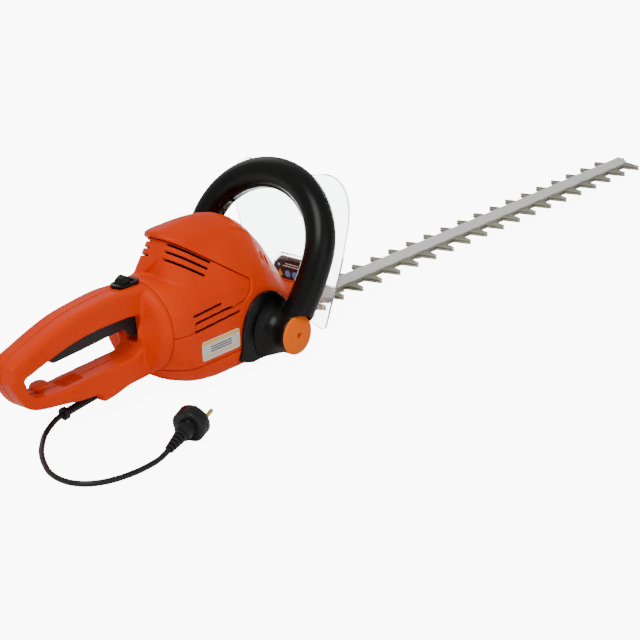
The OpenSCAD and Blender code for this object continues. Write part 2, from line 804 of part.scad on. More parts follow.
module motor_frame() {
    color("dimgray") translate([motor_x, 0, 0]) difference() {
        union() {
            translate([0, 0, frame_z]) cylinder(h = comm_z + 1.5 - frame_z, r = frame_r);
            translate([0, 0, frame_z]) cylinder(h = frame_top - frame_z, r = end_r + 3);
            translate([0, 0, frame_top - eps]) cylinder(h = bearing_w + 1, r = boss_r);
        }
        translate([0, 0, frame_z - 1]) cylinder(h = comm_z - 0.5 - frame_z, r = stator_r);
        translate([0, 0, frame_z]) cylinder(h = frame_top - 3 - frame_z, r = end_r);
        translate([0, 0, top_bearing_z]) cylinder(h = 30, r = bearing_r);
        translate([0, 0, frame_top - 5]) cylinder(h = 30, r = shaft_r + 2);
        for (a = [0 : 60 : 300]) rotate(a + 30) {
            translate([20, -8, fan_z + 2]) cube([40, 16, fan_h - 1]);
            translate([20, -7, comm_z - 1]) cube([40, 14, comm_h]);
        }
    }
}

module stator_core() {
    color("darkgray") translate([motor_x, 0, core_z]) difference() {
        cylinder(h = stator_len, r = stator_r - 0.05);
        translate([0, 0, -1]) cylinder(h = stator_len + 2, r = rotor_r + 0.8);
        for (side = [-1, 1]) translate([side*(rotor_r - 2), -14, -1]) translate([side < 0 ? -9 : 0, 0, 0])
            cube([9, 28, stator_len + 2]);
    }
}

module field_coils() {
    color("peru") translate([motor_x, 0, 0]) for (z = [core_z - coil_h, core_top], turn = [0, 180])
        rotate([0, 0, turn]) translate([0, 0, z + 0.1]) intersection() {
            difference() {
                cylinder(h = coil_h - 0.2, r = stator_r - 2);
                translate([0, 0, -1]) cylinder(h = 20, r = rotor_r + 3);
            }
            translate([-40, 6, -1]) cube([80, 40, 20]);
        }
}

module rotor_shaft() {
    color("silver") translate([motor_x, 0, gear_z - 1])
        cylinder(h = top_bearing_z + bearing_w + 1.2 - gear_z, r = shaft_r);
}

module on_rotor(z, h, r) {
    translate([motor_x, 0, z]) difference() {
        cylinder(h = h, r = r);
        translate([0, 0, -1]) cylinder(h = h + 2, r = shaft_r);
    }
}

module fan() {
    color("dimgray") difference() {
        union() {
            on_rotor(fan_z, fan_h, 9);
            on_rotor(fan_z, 2, stator_r - 4);
            for (a = [0 : 40 : 320]) translate([motor_x, 0, fan_z + 2 - eps]) rotate(a) translate([11, -0.8, 0])
                cube([stator_r - 16, 1.6, fan_h - 2]);
        }
        translate([motor_x, 0, fan_z - 1]) cylinder(h = 30, r = shaft_r);
    }
}

module armature_core() {
    color("darkgray") difference() {
        on_rotor(core_z, stator_len, rotor_r);
        for (a = [0 : 30 : 330]) translate([motor_x, 0, core_z - 1]) rotate(a)
            translate([rotor_r - 8, -1.5, 0]) cube([10, 3, stator_len + 2]);
    }
}

module armature_windings() {
    color("peru") {
        on_rotor(core_z - coil_h, coil_h - 0.1, rotor_r - 2);
        on_rotor(core_top + 0.1, coil_h, rotor_r - 4);
    }
}

module commutator() {
    color("peru") on_rotor(comm_z, comm_h, comm_r);
}

module brush_holders() {
    color("goldenrod") both_sides() difference() {
        translate([motor_x - 5, comm_r + 4, comm_z]) cube([10, end_r - comm_r - 4.8, comm_h - 1]);
        translate([motor_x - 3, comm_r, comm_z + 1.5]) cube([6, end_r - comm_r - 4, comm_h - 4]);
    }
}

module carbon_brushes() {
    color("black") both_sides() translate([motor_x - 2.9, comm_r + 0.1 + 0.35, comm_z + 1.6])
        cube([5.8, end_r - comm_r - 6, comm_h - 4.2]);
}

// ---- blades ----
function tooth_points(x, side) = concat(
    [[x - tooth_root_w/2, side*spine_w/2]],
    [for (k = [0 : 4]) [x - tooth_tip_r*cos(45*k), side*(tooth_reach - tooth_tip_r + tooth_tip_r*sin(45*k))]],
    [[x + tooth_root_w/2, side*spine_w/2]]);
function turned(list) = [for (i = [len(list) - 1 : -1 : 0]) list[i]];
near_edge = [for (i = [0 : tooth_count - 1]) each tooth_points(first_tooth_x + i*tooth_pitch, -1)];
far_edge = [for (i = [0 : tooth_count - 2]) each tooth_points(first_tooth_x + (i + 0.5)*tooth_pitch, 1)];
blade_edge = concat([[0, -spine_w/2]], near_edge, [[blade_end_x, spine_w/2]], turned(far_edge),
    [[0, spine_w/2]]);

module oblong(reach, r, h) {
    translate([-reach, -r, 0]) cube([2*reach, 2*r, h]);
    for (side = [-1, 1]) translate([side*reach, 0, 0]) cylinder(h = h, r = r);
}

module blade(z) {
    color("darkgray") translate([0, 0, z]) difference() {
        union() {
            linear_extrude(blade_t) polygon(blade_edge);
            oblong(throw, yoke_r + yoke_wall, blade_t);
        }
        translate([0, 0, -1]) oblong(throw, yoke_r, blade_t + 2);
        for (i = [0 : screw_count - 1]) translate([screw_x(i), 0, -1])
            oblong(throw, shoulder_r + slide_gap, blade_t + 2);
    }
}

module upper_blade() {
    blade(upper_z);
}

module lower_blade() {
    blade(lower_z);
}

module blade_bar() {
    h = bar_w/2;
    color("gainsboro") difference() {
        translate([bar_x0, 0, bar_z]) rotate([90, 0, 90]) linear_extrude(bar_len)
            polygon([[-h, 0], [h, 0], [h, 3], [h - 3.5, bar_h], [3.5 - h, bar_h], [-h, 3]]);
        for (i = [0 : screw_count - 1]) translate([screw_x(i), 0, bar_z - 1]) cylinder(h = 5, r = thread_r);
    }
}

module blade_screws() {
    head_z = lower_z - slide_gap - head_t;
    color("silver") for (i = [0 : screw_count - 1]) translate([screw_x(i), 0, 0]) {
        translate([0, 0, head_z]) cylinder(h = head_t, r = head_r);
        translate([0, 0, head_z + head_t - eps]) cylinder(h = bar_z - head_z - head_t + eps, r = shoulder_r);
        translate([0, 0, bar_z - eps]) cylinder(h = 3.9, r = thread_r);
    }
}

// ---- mains lead ----
module cord() {
    path = smooth_path(cord_route, 2);
    color("black") skin([for (i = [0 : len(path) - 1]) let (
            t = i == 0 ? relief_dir : i == len(path) - 1 ? plug_dir : heading(path, i),
            side = unit(cross([0, 0, 1], t)),
            up = cross(t, side))
        [for (k = [0 : 9]) path[i] + cord_r*(cos(36*k)*side + sin(36*k)*up)]]);
}

module strain_relief() {
    color("black") {
        along(relief_from, relief_dir) cylinder(h = relief_len - 6, r = relief_r);
        along(relief_from + (relief_len - 6 - eps)*relief_dir, relief_dir) cylinder(h = 6 + eps, r = 7);
    }
}

module cord_clamp() {
    color("black") translate([relief_from[0] + 3, -10, relief_from[2] + 1.5]) cube([8, 20, 8]);
}

module plug_body() {
    color("black") {
        along(plug_tail, plug_dir) cylinder(h = 25, r1 = 5, r2 = 7.5);
        along(plug_tail + 25*plug_dir - eps*plug_dir, plug_dir) cylinder(h = plug_disc_at - 25 + 2*eps, r = 10);
        along(plug_tail + plug_disc_at*plug_dir, plug_dir) cylinder(h = plug_disc_t, r = plug_d/2);
    }
}

module plug_pins() {
    across_pin = unit(cross([0, 0, 1], plug_dir));
    color("goldenrod") for (side = [-1, 1])
        along(plug_tail + plug_face*plug_dir + side*pin_spacing/2*across_pin, plug_dir)
            cylinder(h = pin_len, r = pin_r);
}

main_housing();
rear_cover();
bottom_cover();
bottom_screws();
handle_left();
handle_right();
handle_screws();
trigger();
trigger_pin();
power_switch();
lock_off_bezel();
lock_off_button();
bracket_left();
bracket_right();
hub_bolts();
hub_nuts();
loop_front_shell();
loop_rear_shell();
loop_hub_left();
loop_hub_right();
loop_leg_strips();
loop_switch_bar();
end_cap_left();
end_cap_right();
guard();
guard_bracket();
warning_label();
guard_screws();
side_sticker_left();
side_sticker_right();
gear_case();
gear_case_cover();
bearings();
crank_shaft();
crank_gear();
eccentrics();
motor_posts();
motor_frame();
stator_core();
field_coils();
brush_holders();
carbon_brushes();
rotor_shaft();
pinion();
fan();
armature_core();
armature_windings();
commutator();
upper_blade();
lower_blade();
blade_bar();
blade_screws();
cord();
strain_relief();
cord_clamp();
plug_body();
plug_pins();
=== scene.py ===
# %% [markdown]
# # An electric hedge trimmer
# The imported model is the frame: its nodes, joints and boxes say where everything is.
# The solid pieces are made in millimetres and turned into metres when each is finished.
# The lead, the camera, the floor and the lamps are in metres from the start.

# %% Load the frame
import json
import math
import bmesh
import bpy
import numpy as np
from mathutils import Matrix, Vector

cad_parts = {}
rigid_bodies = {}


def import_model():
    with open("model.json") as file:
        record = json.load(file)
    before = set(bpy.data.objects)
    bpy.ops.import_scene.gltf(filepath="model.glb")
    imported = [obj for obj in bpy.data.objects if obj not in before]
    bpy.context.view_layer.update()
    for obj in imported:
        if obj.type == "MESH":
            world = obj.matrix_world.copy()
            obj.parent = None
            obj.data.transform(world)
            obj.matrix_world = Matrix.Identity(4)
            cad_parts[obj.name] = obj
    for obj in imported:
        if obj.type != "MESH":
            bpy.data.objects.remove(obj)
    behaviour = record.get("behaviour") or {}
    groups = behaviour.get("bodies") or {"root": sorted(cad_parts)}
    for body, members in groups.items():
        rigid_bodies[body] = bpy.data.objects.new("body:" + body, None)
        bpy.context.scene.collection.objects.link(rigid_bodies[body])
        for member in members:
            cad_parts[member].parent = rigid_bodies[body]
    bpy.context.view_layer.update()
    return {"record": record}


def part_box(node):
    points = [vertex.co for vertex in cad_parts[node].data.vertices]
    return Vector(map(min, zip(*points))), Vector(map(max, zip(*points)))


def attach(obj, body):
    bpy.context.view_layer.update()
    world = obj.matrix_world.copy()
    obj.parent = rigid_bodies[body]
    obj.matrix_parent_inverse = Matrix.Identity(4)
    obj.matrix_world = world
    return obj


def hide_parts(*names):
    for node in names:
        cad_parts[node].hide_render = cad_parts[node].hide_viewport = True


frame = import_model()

# %% [markdown]
# The camera stands behind the tool, to its right, and looks along the blade.
# A long lens keeps the blade from shrinking too fast. Its direction, its tilt and its
# roll give three axes, which fill a matrix, so that no order of turns has to be guessed.

# %% Camera
def view_axes(azimuth, elevation, roll):
    back = Vector((math.sin(azimuth)*math.cos(elevation), -math.cos(azimuth)*math.cos(elevation),
                   math.sin(elevation)))
    right = Vector((math.cos(azimuth), math.sin(azimuth), 0))
    up = back.cross(right)
    c, s = math.cos(roll), math.sin(roll)
    return c*right - s*up, s*right + c*up, back

CAMERA_PLACE = (-1.4884, -1.4740, 0.8463)
AZIMUTH, ELEVATION, ROLL = -0.84008, 0.36843, 0.03672
camera_data = bpy.data.cameras.new("camera")
camera_data.lens = 112.8
camera_data.sensor_width = 36
camera = bpy.data.objects.new("camera", camera_data)
bpy.context.collection.objects.link(camera)
camera.matrix_world = (Matrix.Translation(CAMERA_PLACE)
                       @ Matrix(view_axes(AZIMUTH, ELEVATION, ROLL)).transposed().to_4x4())
bpy.context.scene.camera = camera
print("camera", tuple(round(v, 3) for v in camera.location))

# %% [markdown]
# A few helpers make closed meshes in millimetres: a skin over rings of points, and a
# prism from an outline. Every shape starts closed, because only closed shapes can be
# cut and joined safely later. A node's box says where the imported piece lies.

# %% Closed meshes
def box_mm(node):
    return [Vector(corner)*1000 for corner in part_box(node)]

def piece_from(name, points, faces):
    mesh = bpy.data.meshes.new(name)
    mesh.from_pydata([tuple(p) for p in points], [], faces)
    mesh.validate()
    piece = bpy.data.objects.new(name, mesh)
    bpy.context.collection.objects.link(piece)
    return piece

def skin(name, rings, closed=False):
    n, count = len(rings[0]), len(rings)
    points = [p for ring in rings for p in ring]
    faces = [(i*n + k, i*n + (k + 1) % n, (i + 1) % count*n + (k + 1) % n, (i + 1) % count*n + k)
             for i in range(count if closed else count - 1) for k in range(n)]
    if not closed:
        faces += [tuple(range(n - 1, -1, -1)), tuple(range((count - 1)*n, count*n))]
    piece = piece_from(name, points, faces)
    outward(piece)
    return piece

def outward(piece):
    work = bmesh.new()
    work.from_mesh(piece.data)
    bmesh.ops.recalc_face_normals(work, faces=work.faces)
    work.to_mesh(piece.data)
    work.free()

def prism(name, outline, axis, start, end):
    place = {"x": lambda p, t: (t, p[0], p[1]), "y": lambda p, t: (p[0], t, p[1]),
             "z": lambda p, t: (p[0], p[1], t)}[axis]
    return skin(name, [[place(p, start) for p in outline], [place(p, end) for p in outline]])

print("housing box", *(tuple(round(v, 1) for v in corner) for corner in box_mm("main_housing")))

# %% [markdown]
# Booleans cut and join the closed shapes. A voxel remesh followed by smoothing then
# rounds the edges of a moulded part, the way a mould's fillets do. Bevels often break
# where such forms cross. Each modifier is applied at once, so that it leaves a mesh.

# %% Cuts, joins and softening
def settle(piece):
    bpy.context.view_layer.update()
    shaped = piece.evaluated_get(bpy.context.evaluated_depsgraph_get())
    mesh = bpy.data.meshes.new_from_object(shaped)
    piece.modifiers.clear()
    piece.data = mesh
    return piece

def change(piece, kind, **settings):
    modifier = piece.modifiers.new(kind, kind)
    for name, value in settings.items():
        setattr(modifier, name, value)
    return settle(piece)

def combine(piece, other, how):
    change(piece, "BOOLEAN", operation=how, object=other, solver="MANIFOLD")
    bpy.data.objects.remove(other)
    return piece

def cut(piece, *tools):
    for tool in tools:
        combine(piece, tool, "DIFFERENCE")
    return piece

def join(piece, *others):
    for other in others:
        combine(piece, other, "UNION")
    return piece

def copy_of(piece, name):
    twin = bpy.data.objects.new(name, piece.data.copy())
    bpy.context.collection.objects.link(twin)
    return twin

def soften(piece, voxel, times, factor=0.5):
    change(piece, "REMESH", mode="VOXEL", voxel_size=voxel)
    return change(piece, "SMOOTH", factor=factor, iterations=times)

def bevel(piece, width, segments=2, angle=40):
    return change(piece, "BEVEL", width=width, segments=segments, limit_method="ANGLE",
                  angle_limit=math.radians(angle))

# %% Curves, rods and turned shapes
def curve_through(points, steps):
    """A smooth curve through the points, as arrays, with the given steps between two."""
    points = [np.array(p, float) for p in points]
    out = []
    for i in range(len(points) - 1):
        a, b = points[max(i - 1, 0)], points[i]
        c, d = points[i + 1], points[min(i + 2, len(points) - 1)]
        for k in range(steps):
            t = k/steps
            out.append(0.5*(2*b + (c - a)*t + (2*a - 5*b + 4*c - d)*t*t + (3*b - a - 3*c + d)*t**3))
    return out + [points[-1]]

def rod(name, start, end, radius, sides=32):
    start, end = Vector(start), Vector(end)
    way = (end - start).normalized()
    side = way.orthogonal().normalized()
    other = way.cross(side)
    rings = [[p + radius*(math.cos(2*math.pi*k/sides)*side + math.sin(2*math.pi*k/sides)*other)
              for k in range(sides)] for p in (start, end)]
    return skin(name, rings)

def turned(name, start, way, profile, sides=48, ring=False):
    """A body of revolution: profile holds (distance along the way, radius) pairs."""
    start, way = Vector(start), Vector(way).normalized()
    side = way.orthogonal().normalized()
    other = way.cross(side)
    return skin(name, [[start + d*way + r*(math.cos(2*math.pi*k/sides)*side
                + math.sin(2*math.pi*k/sides)*other) for k in range(sides)] for d, r in profile], closed=ring)

# %% Finish a piece
def done(piece, body, material, slot, *nodes, angle=40):
    """To metres, smooth up to the given angle, then its finish, its body and the nodes it replaces."""
    piece.data.transform(Matrix.Scale(0.001, 4))
    for face in piece.data.polygons:
        face.use_smooth = True
    piece.data.set_sharp_from_angle(angle=math.radians(angle))
    piece.data.materials.clear()
    piece.data.materials.append(material)
    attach(piece, body)
    if nodes:
        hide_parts(*nodes)
    print(piece.name, len(piece.data.polygons), "faces")
    return piece

# %% [markdown]
# The mains lead is short: it leaves the strain relief, falls to the ground, swings round
# in a loose curve behind and beside the handle, and ends in a round plug. A curve with a
# round bevel is the simplest true tube, and it has one open spline.

# %% Mains lead
CORD_ROUTE = [(-249, 0, 15.5), (-258, 0, 13), (-268, -1, 8.5), (-280, -6, 4.5), (-294, -18, 3),
              (-309, -34, 3), (-323, -54, 3), (-334, -75, 3), (-338, -96, 3), (-335, -113, 3),
              (-326, -126, 3), (-312, -135, 3), (-295, -140, 3), (-277, -142, 3), (-260, -142, 3.4),
              (-245, -140.5, 4.4), (-230, -137, 7)]
cord_path = [tuple(p*0.001) for p in curve_through(CORD_ROUTE, 6)]
cord_curve = bpy.data.curves.new("mains_lead", "CURVE")
cord_curve.dimensions = "3D"
cord_curve.bevel_depth = 0.003
cord_curve.bevel_resolution = 5
cord_curve.use_fill_caps = True
spline = cord_curve.splines.new("POLY")
spline.points.add(len(cord_path) - 1)
for point, place in zip(spline.points, cord_path):
    point.co = (*place, 1)
mains_lead = bpy.data.objects.new("mains_lead", cord_curve)
bpy.context.collection.objects.link(mains_lead)

# %% [markdown]
# Plastic and metal look real through small things: a fine grain from the mould, edges
# that are rubbed, settled dust, a brushed direction. Each effect is one shader group
# with its own sockets, placed in the materials that show it, each with its own values.

# %% Shader group helpers
def group(name, inputs, outputs):
    tree = bpy.data.node_groups.new(name, "ShaderNodeTree")
    for label, value in inputs:
        socket = tree.interface.new_socket(label, in_out="INPUT", socket_type="NodeSocketFloat")
        socket.default_value = value
    for label in outputs:
        tree.interface.new_socket(label, in_out="OUTPUT", socket_type="NodeSocketFloat")
    return tree, tree.nodes.new("NodeGroupInput"), tree.nodes.new("NodeGroupOutput")

def add(tree, kind, **values):
    node = tree.nodes.new(kind)
    for name, value in values.items():
        if hasattr(node, name):
            setattr(node, name, value)
        else:
            node.inputs[name.replace("_", " ")].default_value = value
    return node

def math_node(tree, operation, a, b=None, clamp=False):
    node = tree.nodes.new("ShaderNodeMath")
    node.operation = operation
    node.use_clamp = clamp
    for socket, value in zip(node.inputs, (a, b)):
        if value is None:
            continue
        if hasattr(value, "is_output"):
            tree.links.new(value, socket)
        else:
            socket.default_value = value
    return node.outputs[0]

def noise(tree, scale, detail, stretch=None, scale_link=None):
    place = tree.nodes.new("ShaderNodeTexCoord").outputs["Object"]
    if stretch:
        mapping = add(tree, "ShaderNodeMapping")
        mapping.inputs["Scale"].default_value = stretch
        tree.links.new(place, mapping.inputs["Vector"])
        place = mapping.outputs["Vector"]
    node = add(tree, "ShaderNodeTexNoise", Scale=scale, Detail=detail)
    tree.links.new(place, node.inputs["Vector"])
    if scale_link:
        tree.links.new(scale_link, node.inputs["Scale"])
    return node.outputs["Fac"]

# %% Grain, cloudiness, rubbed edges, dust and brushing
def make_mould_grain():
    tree, given, result = group("Mould grain", [("Scale", 900.0), ("Cloud scale", 14.0)],
                                ["Height", "Cloud"])
    fine = noise(tree, 900, 3, scale_link=given.outputs["Scale"])
    cloud = noise(tree, 14, 4, scale_link=given.outputs["Cloud scale"])
    tree.links.new(fine, result.inputs["Height"])
    tree.links.new(cloud, result.inputs["Cloud"])
    return tree

def make_rubbed_edges():
    tree, given, result = group("Rubbed edges", [("Amount", 0.5)], ["Mask"])
    point = tree.nodes.new("ShaderNodeNewGeometry").outputs["Pointiness"]
    sharp = math_node(tree, "MULTIPLY", math_node(tree, "SUBTRACT", point, 0.53), 14.0, clamp=True)
    patchy = math_node(tree, "MULTIPLY", sharp, noise(tree, 120, 4))
    mask = math_node(tree, "MULTIPLY", patchy, given.outputs["Amount"], clamp=True)
    tree.links.new(mask, result.inputs["Mask"])
    return tree

def make_settled_dust():
    tree, given, result = group("Settled dust", [("Amount", 0.3)], ["Mask"])
    split = tree.nodes.new("ShaderNodeSeparateXYZ")
    tree.links.new(tree.nodes.new("ShaderNodeNewGeometry").outputs["Normal"], split.inputs[0])
    turned_up = math_node(tree, "ADD", split.outputs["Z"], 0.2)
    facing_up = math_node(tree, "MULTIPLY", turned_up, 0.8, clamp=True)
    fine = math_node(tree, "SUBTRACT", noise(tree, 260, 6), 0.5)
    specks = math_node(tree, "MULTIPLY", fine, 3.0, clamp=True)
    broad = math_node(tree, "SUBTRACT", noise(tree, 22, 5), 0.4)
    patch = math_node(tree, "MULTIPLY", broad, 2.0, clamp=True)
    lying = math_node(tree, "MULTIPLY", math_node(tree, "MULTIPLY", facing_up, specks), patch)
    mask = math_node(tree, "MULTIPLY", lying, given.outputs["Amount"], clamp=True)
    tree.links.new(mask, result.inputs["Mask"])
    return tree

def make_brushing():
    tree, given, result = group("Brushing", [("Scale", 60.0)], ["Height", "Streak"])
    lines = noise(tree, 60, 5, stretch=(0.4, 30, 30), scale_link=given.outputs["Scale"])
    wide = noise(tree, 6, 3, stretch=(0.3, 4, 4))
    tree.links.new(lines, result.inputs["Height"])
    streak = math_node(tree, "MULTIPLY", math_node(tree, "ADD", lines, wide), 0.5)
    tree.links.new(streak, result.inputs["Streak"])
    return tree

MOULD_GRAIN, RUBBED_EDGES = make_mould_grain(), make_rubbed_edges()
SETTLED_DUST, BRUSHING = make_settled_dust(), make_brushing()
print("shader groups", [g.name for g in bpy.data.node_groups])

# %% [markdown]
# One function lays out a material. A group gives a slow cloud and a fine height, the
# colour wanders a little between two shades, edges turn paler, and dust dulls what
# faces up. Numbers that are the same everywhere sit on the shader's own sockets.

# %% Material maker
def use(tree, shared, **values):
    node = tree.nodes.new("ShaderNodeGroup")
    node.node_tree = shared
    for name, value in values.items():
        node.inputs[name.replace("_", " ")].default_value = value
    return node

def blend_colour(tree, mask, first, second):
    node = add(tree, "ShaderNodeMix", data_type="RGBA")
    tree.links.new(mask, node.inputs["Factor"])
    for socket, value in ((node.inputs[6], first), (node.inputs[7], second)):
        if hasattr(value, "is_output"):
            tree.links.new(value, socket)
        else:
            socket.default_value = (*value, 1)
    return node.outputs[2]

def spread(tree, value, low, high, start=0.3, end=0.7):
    node = add(tree, "ShaderNodeMapRange")
    tree.links.new(value, node.inputs["Value"])
    for name, number in (("From Min", start), ("From Max", end), ("To Min", low), ("To Max", high)):
        node.inputs[name].default_value = number
    return node.outputs["Result"]

def material(name, colour, deep, rough=(0.3, 0.4), metallic=0.0, grain=900, bump=0.05, brushed=False,
             worn=None, wear=0.5, dust=0.25, ior=1.5, specular=0.5):
    made = bpy.data.materials.new(name)
    made.use_nodes = True
    tree = made.node_tree
    shader = tree.nodes["Principled BSDF"]
    shader.inputs["Metallic"].default_value = metallic
    shader.inputs["IOR"].default_value = ior
    shader.inputs["Specular IOR Level"].default_value = specular
    if brushed:
        base = use(tree, BRUSHING, Scale=grain)
        cloud, height = base.outputs["Streak"], base.outputs["Height"]
    else:
        base = use(tree, MOULD_GRAIN, Scale=grain)
        cloud, height = base.outputs["Cloud"], base.outputs["Height"]
    paint = blend_colour(tree, spread(tree, cloud, 0, 1), deep, colour)
    edge = use(tree, RUBBED_EDGES, Amount=wear).outputs["Mask"]
    paint = blend_colour(tree, edge, paint, worn or tuple(min(1, c*1.6 + 0.02) for c in colour))
    dusty = use(tree, SETTLED_DUST, Amount=dust).outputs["Mask"]
    paint = blend_colour(tree, dusty, paint, (0.55, 0.5, 0.42))
    tree.links.new(paint, shader.inputs["Base Color"])
    dull = math_node(tree, "MULTIPLY", dusty, 0.3)
    gloss = math_node(tree, "ADD", spread(tree, cloud, *rough), dull, clamp=True)
    tree.links.new(gloss, shader.inputs["Roughness"])
    relief = add(tree, "ShaderNodeBump", Strength=bump, Distance=0.0003)
    tree.links.new(height, relief.inputs["Height"])
    tree.links.new(relief.outputs["Normal"], shader.inputs["Normal"])
    return made

# %% Plastics and rubber
ORANGE = material("orange_shell_plastic", (0.78, 0.046, 0.0), (0.70, 0.036, 0.0), rough=(0.3, 0.4),
                  grain=1400, bump=0.06, worn=(0.9, 0.11, 0.01), wear=0.25, dust=0.02, ior=1.22, specular=0.3)
CAP_ORANGE = material("cap_plastic", (0.92, 0.15, 0.0), (0.86, 0.13, 0.0), rough=(0.32, 0.42),
                      grain=1400, bump=0.06, wear=0.25, dust=0.02, ior=1.22, specular=0.3)
BLACK = material("black_satin_plastic", (0.004, 0.0038, 0.0034), (0.0025, 0.0025, 0.0023), rough=(0.22, 0.32),
                 grain=1100, bump=0.12, worn=(0.03, 0.03, 0.027), wear=0.35, dust=0.03, specular=0.2)
TRIGGER_GREY = material("trigger_plastic", (0.018, 0.0185, 0.018), (0.012, 0.0125, 0.0125), rough=(0.38, 0.5),
                        grain=1000, bump=0.2, worn=(0.06, 0.06, 0.06), wear=0.4, dust=0.05, specular=0.25)
RUBBER = material("lead_rubber", (0.010, 0.010, 0.0105), (0.006, 0.006, 0.0065), rough=(0.3, 0.42), grain=700,
                  bump=0.15, worn=(0.05, 0.05, 0.05), wear=0.3, dust=0.08, specular=0.3)

# %% Metals
STEEL = material("plated_steel", (0.55, 0.55, 0.54), (0.42, 0.42, 0.41), rough=(0.25, 0.4), metallic=1.0,
                 grain=90, bump=0.1, brushed=True, worn=(0.8, 0.8, 0.8), dust=0.1)
BLADE_STEEL = material("blade_steel", (0.40, 0.39, 0.30), (0.25, 0.245, 0.18), rough=(0.3, 0.48),
                       metallic=0.7, grain=80, bump=0.2, brushed=True, worn=(0.75, 0.74, 0.68), wear=0.9,
                       dust=0.2)
# The bar keeps aluminium's own pale colour, but with little metallic it shows as a near-white diffuse
# surface: a painted reflection of the bright surroundings that the bar mirrors.
BAR_METAL_WITH_PAINTED_SHEEN = material("bar_aluminium", (0.95, 0.95, 0.90), (0.84, 0.84, 0.79), rough=(0.28, 0.42),
                     metallic=0.25, grain=60, bump=0.12, brushed=True, worn=(0.92, 0.92, 0.9), wear=0.5,
                     dust=0.1)
CAST = material("cast_aluminium", (0.58, 0.58, 0.57), (0.45, 0.45, 0.44), rough=(0.45, 0.62), metallic=1.0,
                grain=500, bump=0.3, dust=0.3)
CORE = material("core_sheets", (0.16, 0.17, 0.19), (0.1, 0.1, 0.12), rough=(0.4, 0.6), metallic=0.9,
                grain=120, bump=0.3, brushed=True, dust=0.2)
COPPER = material("wound_copper", (0.62, 0.24, 0.09), (0.42, 0.14, 0.05), rough=(0.28, 0.42), metallic=1.0,
                  grain=110, bump=0.4, brushed=True, dust=0.15)
BRASS = material("plug_brass", (0.83, 0.62, 0.26), (0.7, 0.48, 0.18), rough=(0.22, 0.36), metallic=1.0,
                 grain=150, bump=0.08, brushed=True, dust=0.08)
CARBON = material("brush_carbon", (0.03, 0.03, 0.032), (0.015, 0.015, 0.016), rough=(0.5, 0.7), grain=600,
                  bump=0.2)
print("materials", len(bpy.data.materials))

# %% [markdown]
# The hand guard is clear moulded plastic. Transmission with a low roughness lets the
# blade show through it, and faint wipe marks in the roughness keep it from looking empty.

# %% Clear plastic and printed films
def clear_plastic():
    made = bpy.data.materials.new("clear_guard_plastic")
    made.use_nodes = True
    tree = made.node_tree
    shader = tree.nodes["Principled BSDF"]
    shader.inputs["Transmission Weight"].default_value = 0.9
    shader.inputs["IOR"].default_value = 1.4
    wipes = use(tree, BRUSHING, Scale=20)
    tree.links.new(blend_colour(tree, wipes.outputs["Streak"], (0.86, 0.89, 0.90), (0.94, 0.96, 0.96)),
                   shader.inputs["Base Color"])
    tree.links.new(spread(tree, wipes.outputs["Streak"], 0.02, 0.1), shader.inputs["Roughness"])
    return made

CLEAR = clear_plastic()

TOP_BAND, LOW_BAND = (0.0068, 0.0098), (-0.0072, -0.0058)

def banded_film(name, centre_z, plain, band):
    """A printed film: two coloured bands along a plain field."""
    made = material(name, plain, tuple(c*0.9 for c in plain), rough=(0.28, 0.4), grain=600, bump=0.04,
                    wear=0.2, dust=0.1)
    tree = made.node_tree
    shader = tree.nodes["Principled BSDF"]
    paint = shader.inputs["Base Color"].links[0].from_socket
    split = tree.nodes.new("ShaderNodeSeparateXYZ")
    tree.links.new(tree.nodes.new("ShaderNodeTexCoord").outputs["Object"], split.inputs[0])
    height = math_node(tree, "SUBTRACT", split.outputs["Z"], centre_z)
    top, low = (math_node(tree, "MULTIPLY", math_node(tree, "GREATER_THAN", height, under),
                          math_node(tree, "LESS_THAN", height, over)) for under, over in (TOP_BAND, LOW_BAND))
    tree.links.new(blend_colour(tree, math_node(tree, "MAXIMUM", top, low), paint, band),
                   shader.inputs["Base Color"])
    return made

STICKER_Z = sum(c[2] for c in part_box("side_sticker_right"))/2
STICKER = banded_film("sticker_film", STICKER_Z, (0.62, 0.62, 0.60), (0.85, 0.52, 0.05))
LABEL = material("label_film", (0.02, 0.02, 0.022), (0.013, 0.013, 0.014), rough=(0.25, 0.35), grain=700,
                 bump=0.05, wear=0.3, dust=0.15)

# %% [markdown]
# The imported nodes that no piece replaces, such as the motor inside, need a finish too.
# Each one names a slot in the record, so one table from slot to finish covers them all,
# and they share their finishes with the pieces made below.

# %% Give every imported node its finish
SLOT_FINISH = {"orange_shell": ORANGE, "steel": STEEL, "trigger_grey": TRIGGER_GREY,
               "black_plastic": BLACK, "cap_orange": CAP_ORANGE, "clear_guard": CLEAR,
               "label_black": LABEL, "sticker_silver": STICKER, "cast_aluminium": CAST,
               "core_steel": CORE, "copper": COPPER, "brass": BRASS, "carbon": CARBON,
               "blade_steel": BLADE_STEEL, "bar_aluminium": BAR_METAL_WITH_PAINTED_SHEEN, "rubber_black": RUBBER}
for entry in frame["record"]["subparts"]:
    node = bpy.data.objects[entry["node"]]
    if not node.material_slots:
        node.data.materials.append(None)
    for place in node.material_slots:
        place.material = SLOT_FINISH[entry["material_slot"]]
mains_lead.data.materials.append(RUBBER)
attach(mains_lead, "housing")
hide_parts("cord")

# %% [markdown]
# The body is a moulding with two characters: a low, boxy one with soft shoulders that
# grows out of the round joint of the handle, and a dome over the upright motor, round at
# the back. Each is a loft of sections; joined and remeshed, they flow into each other.

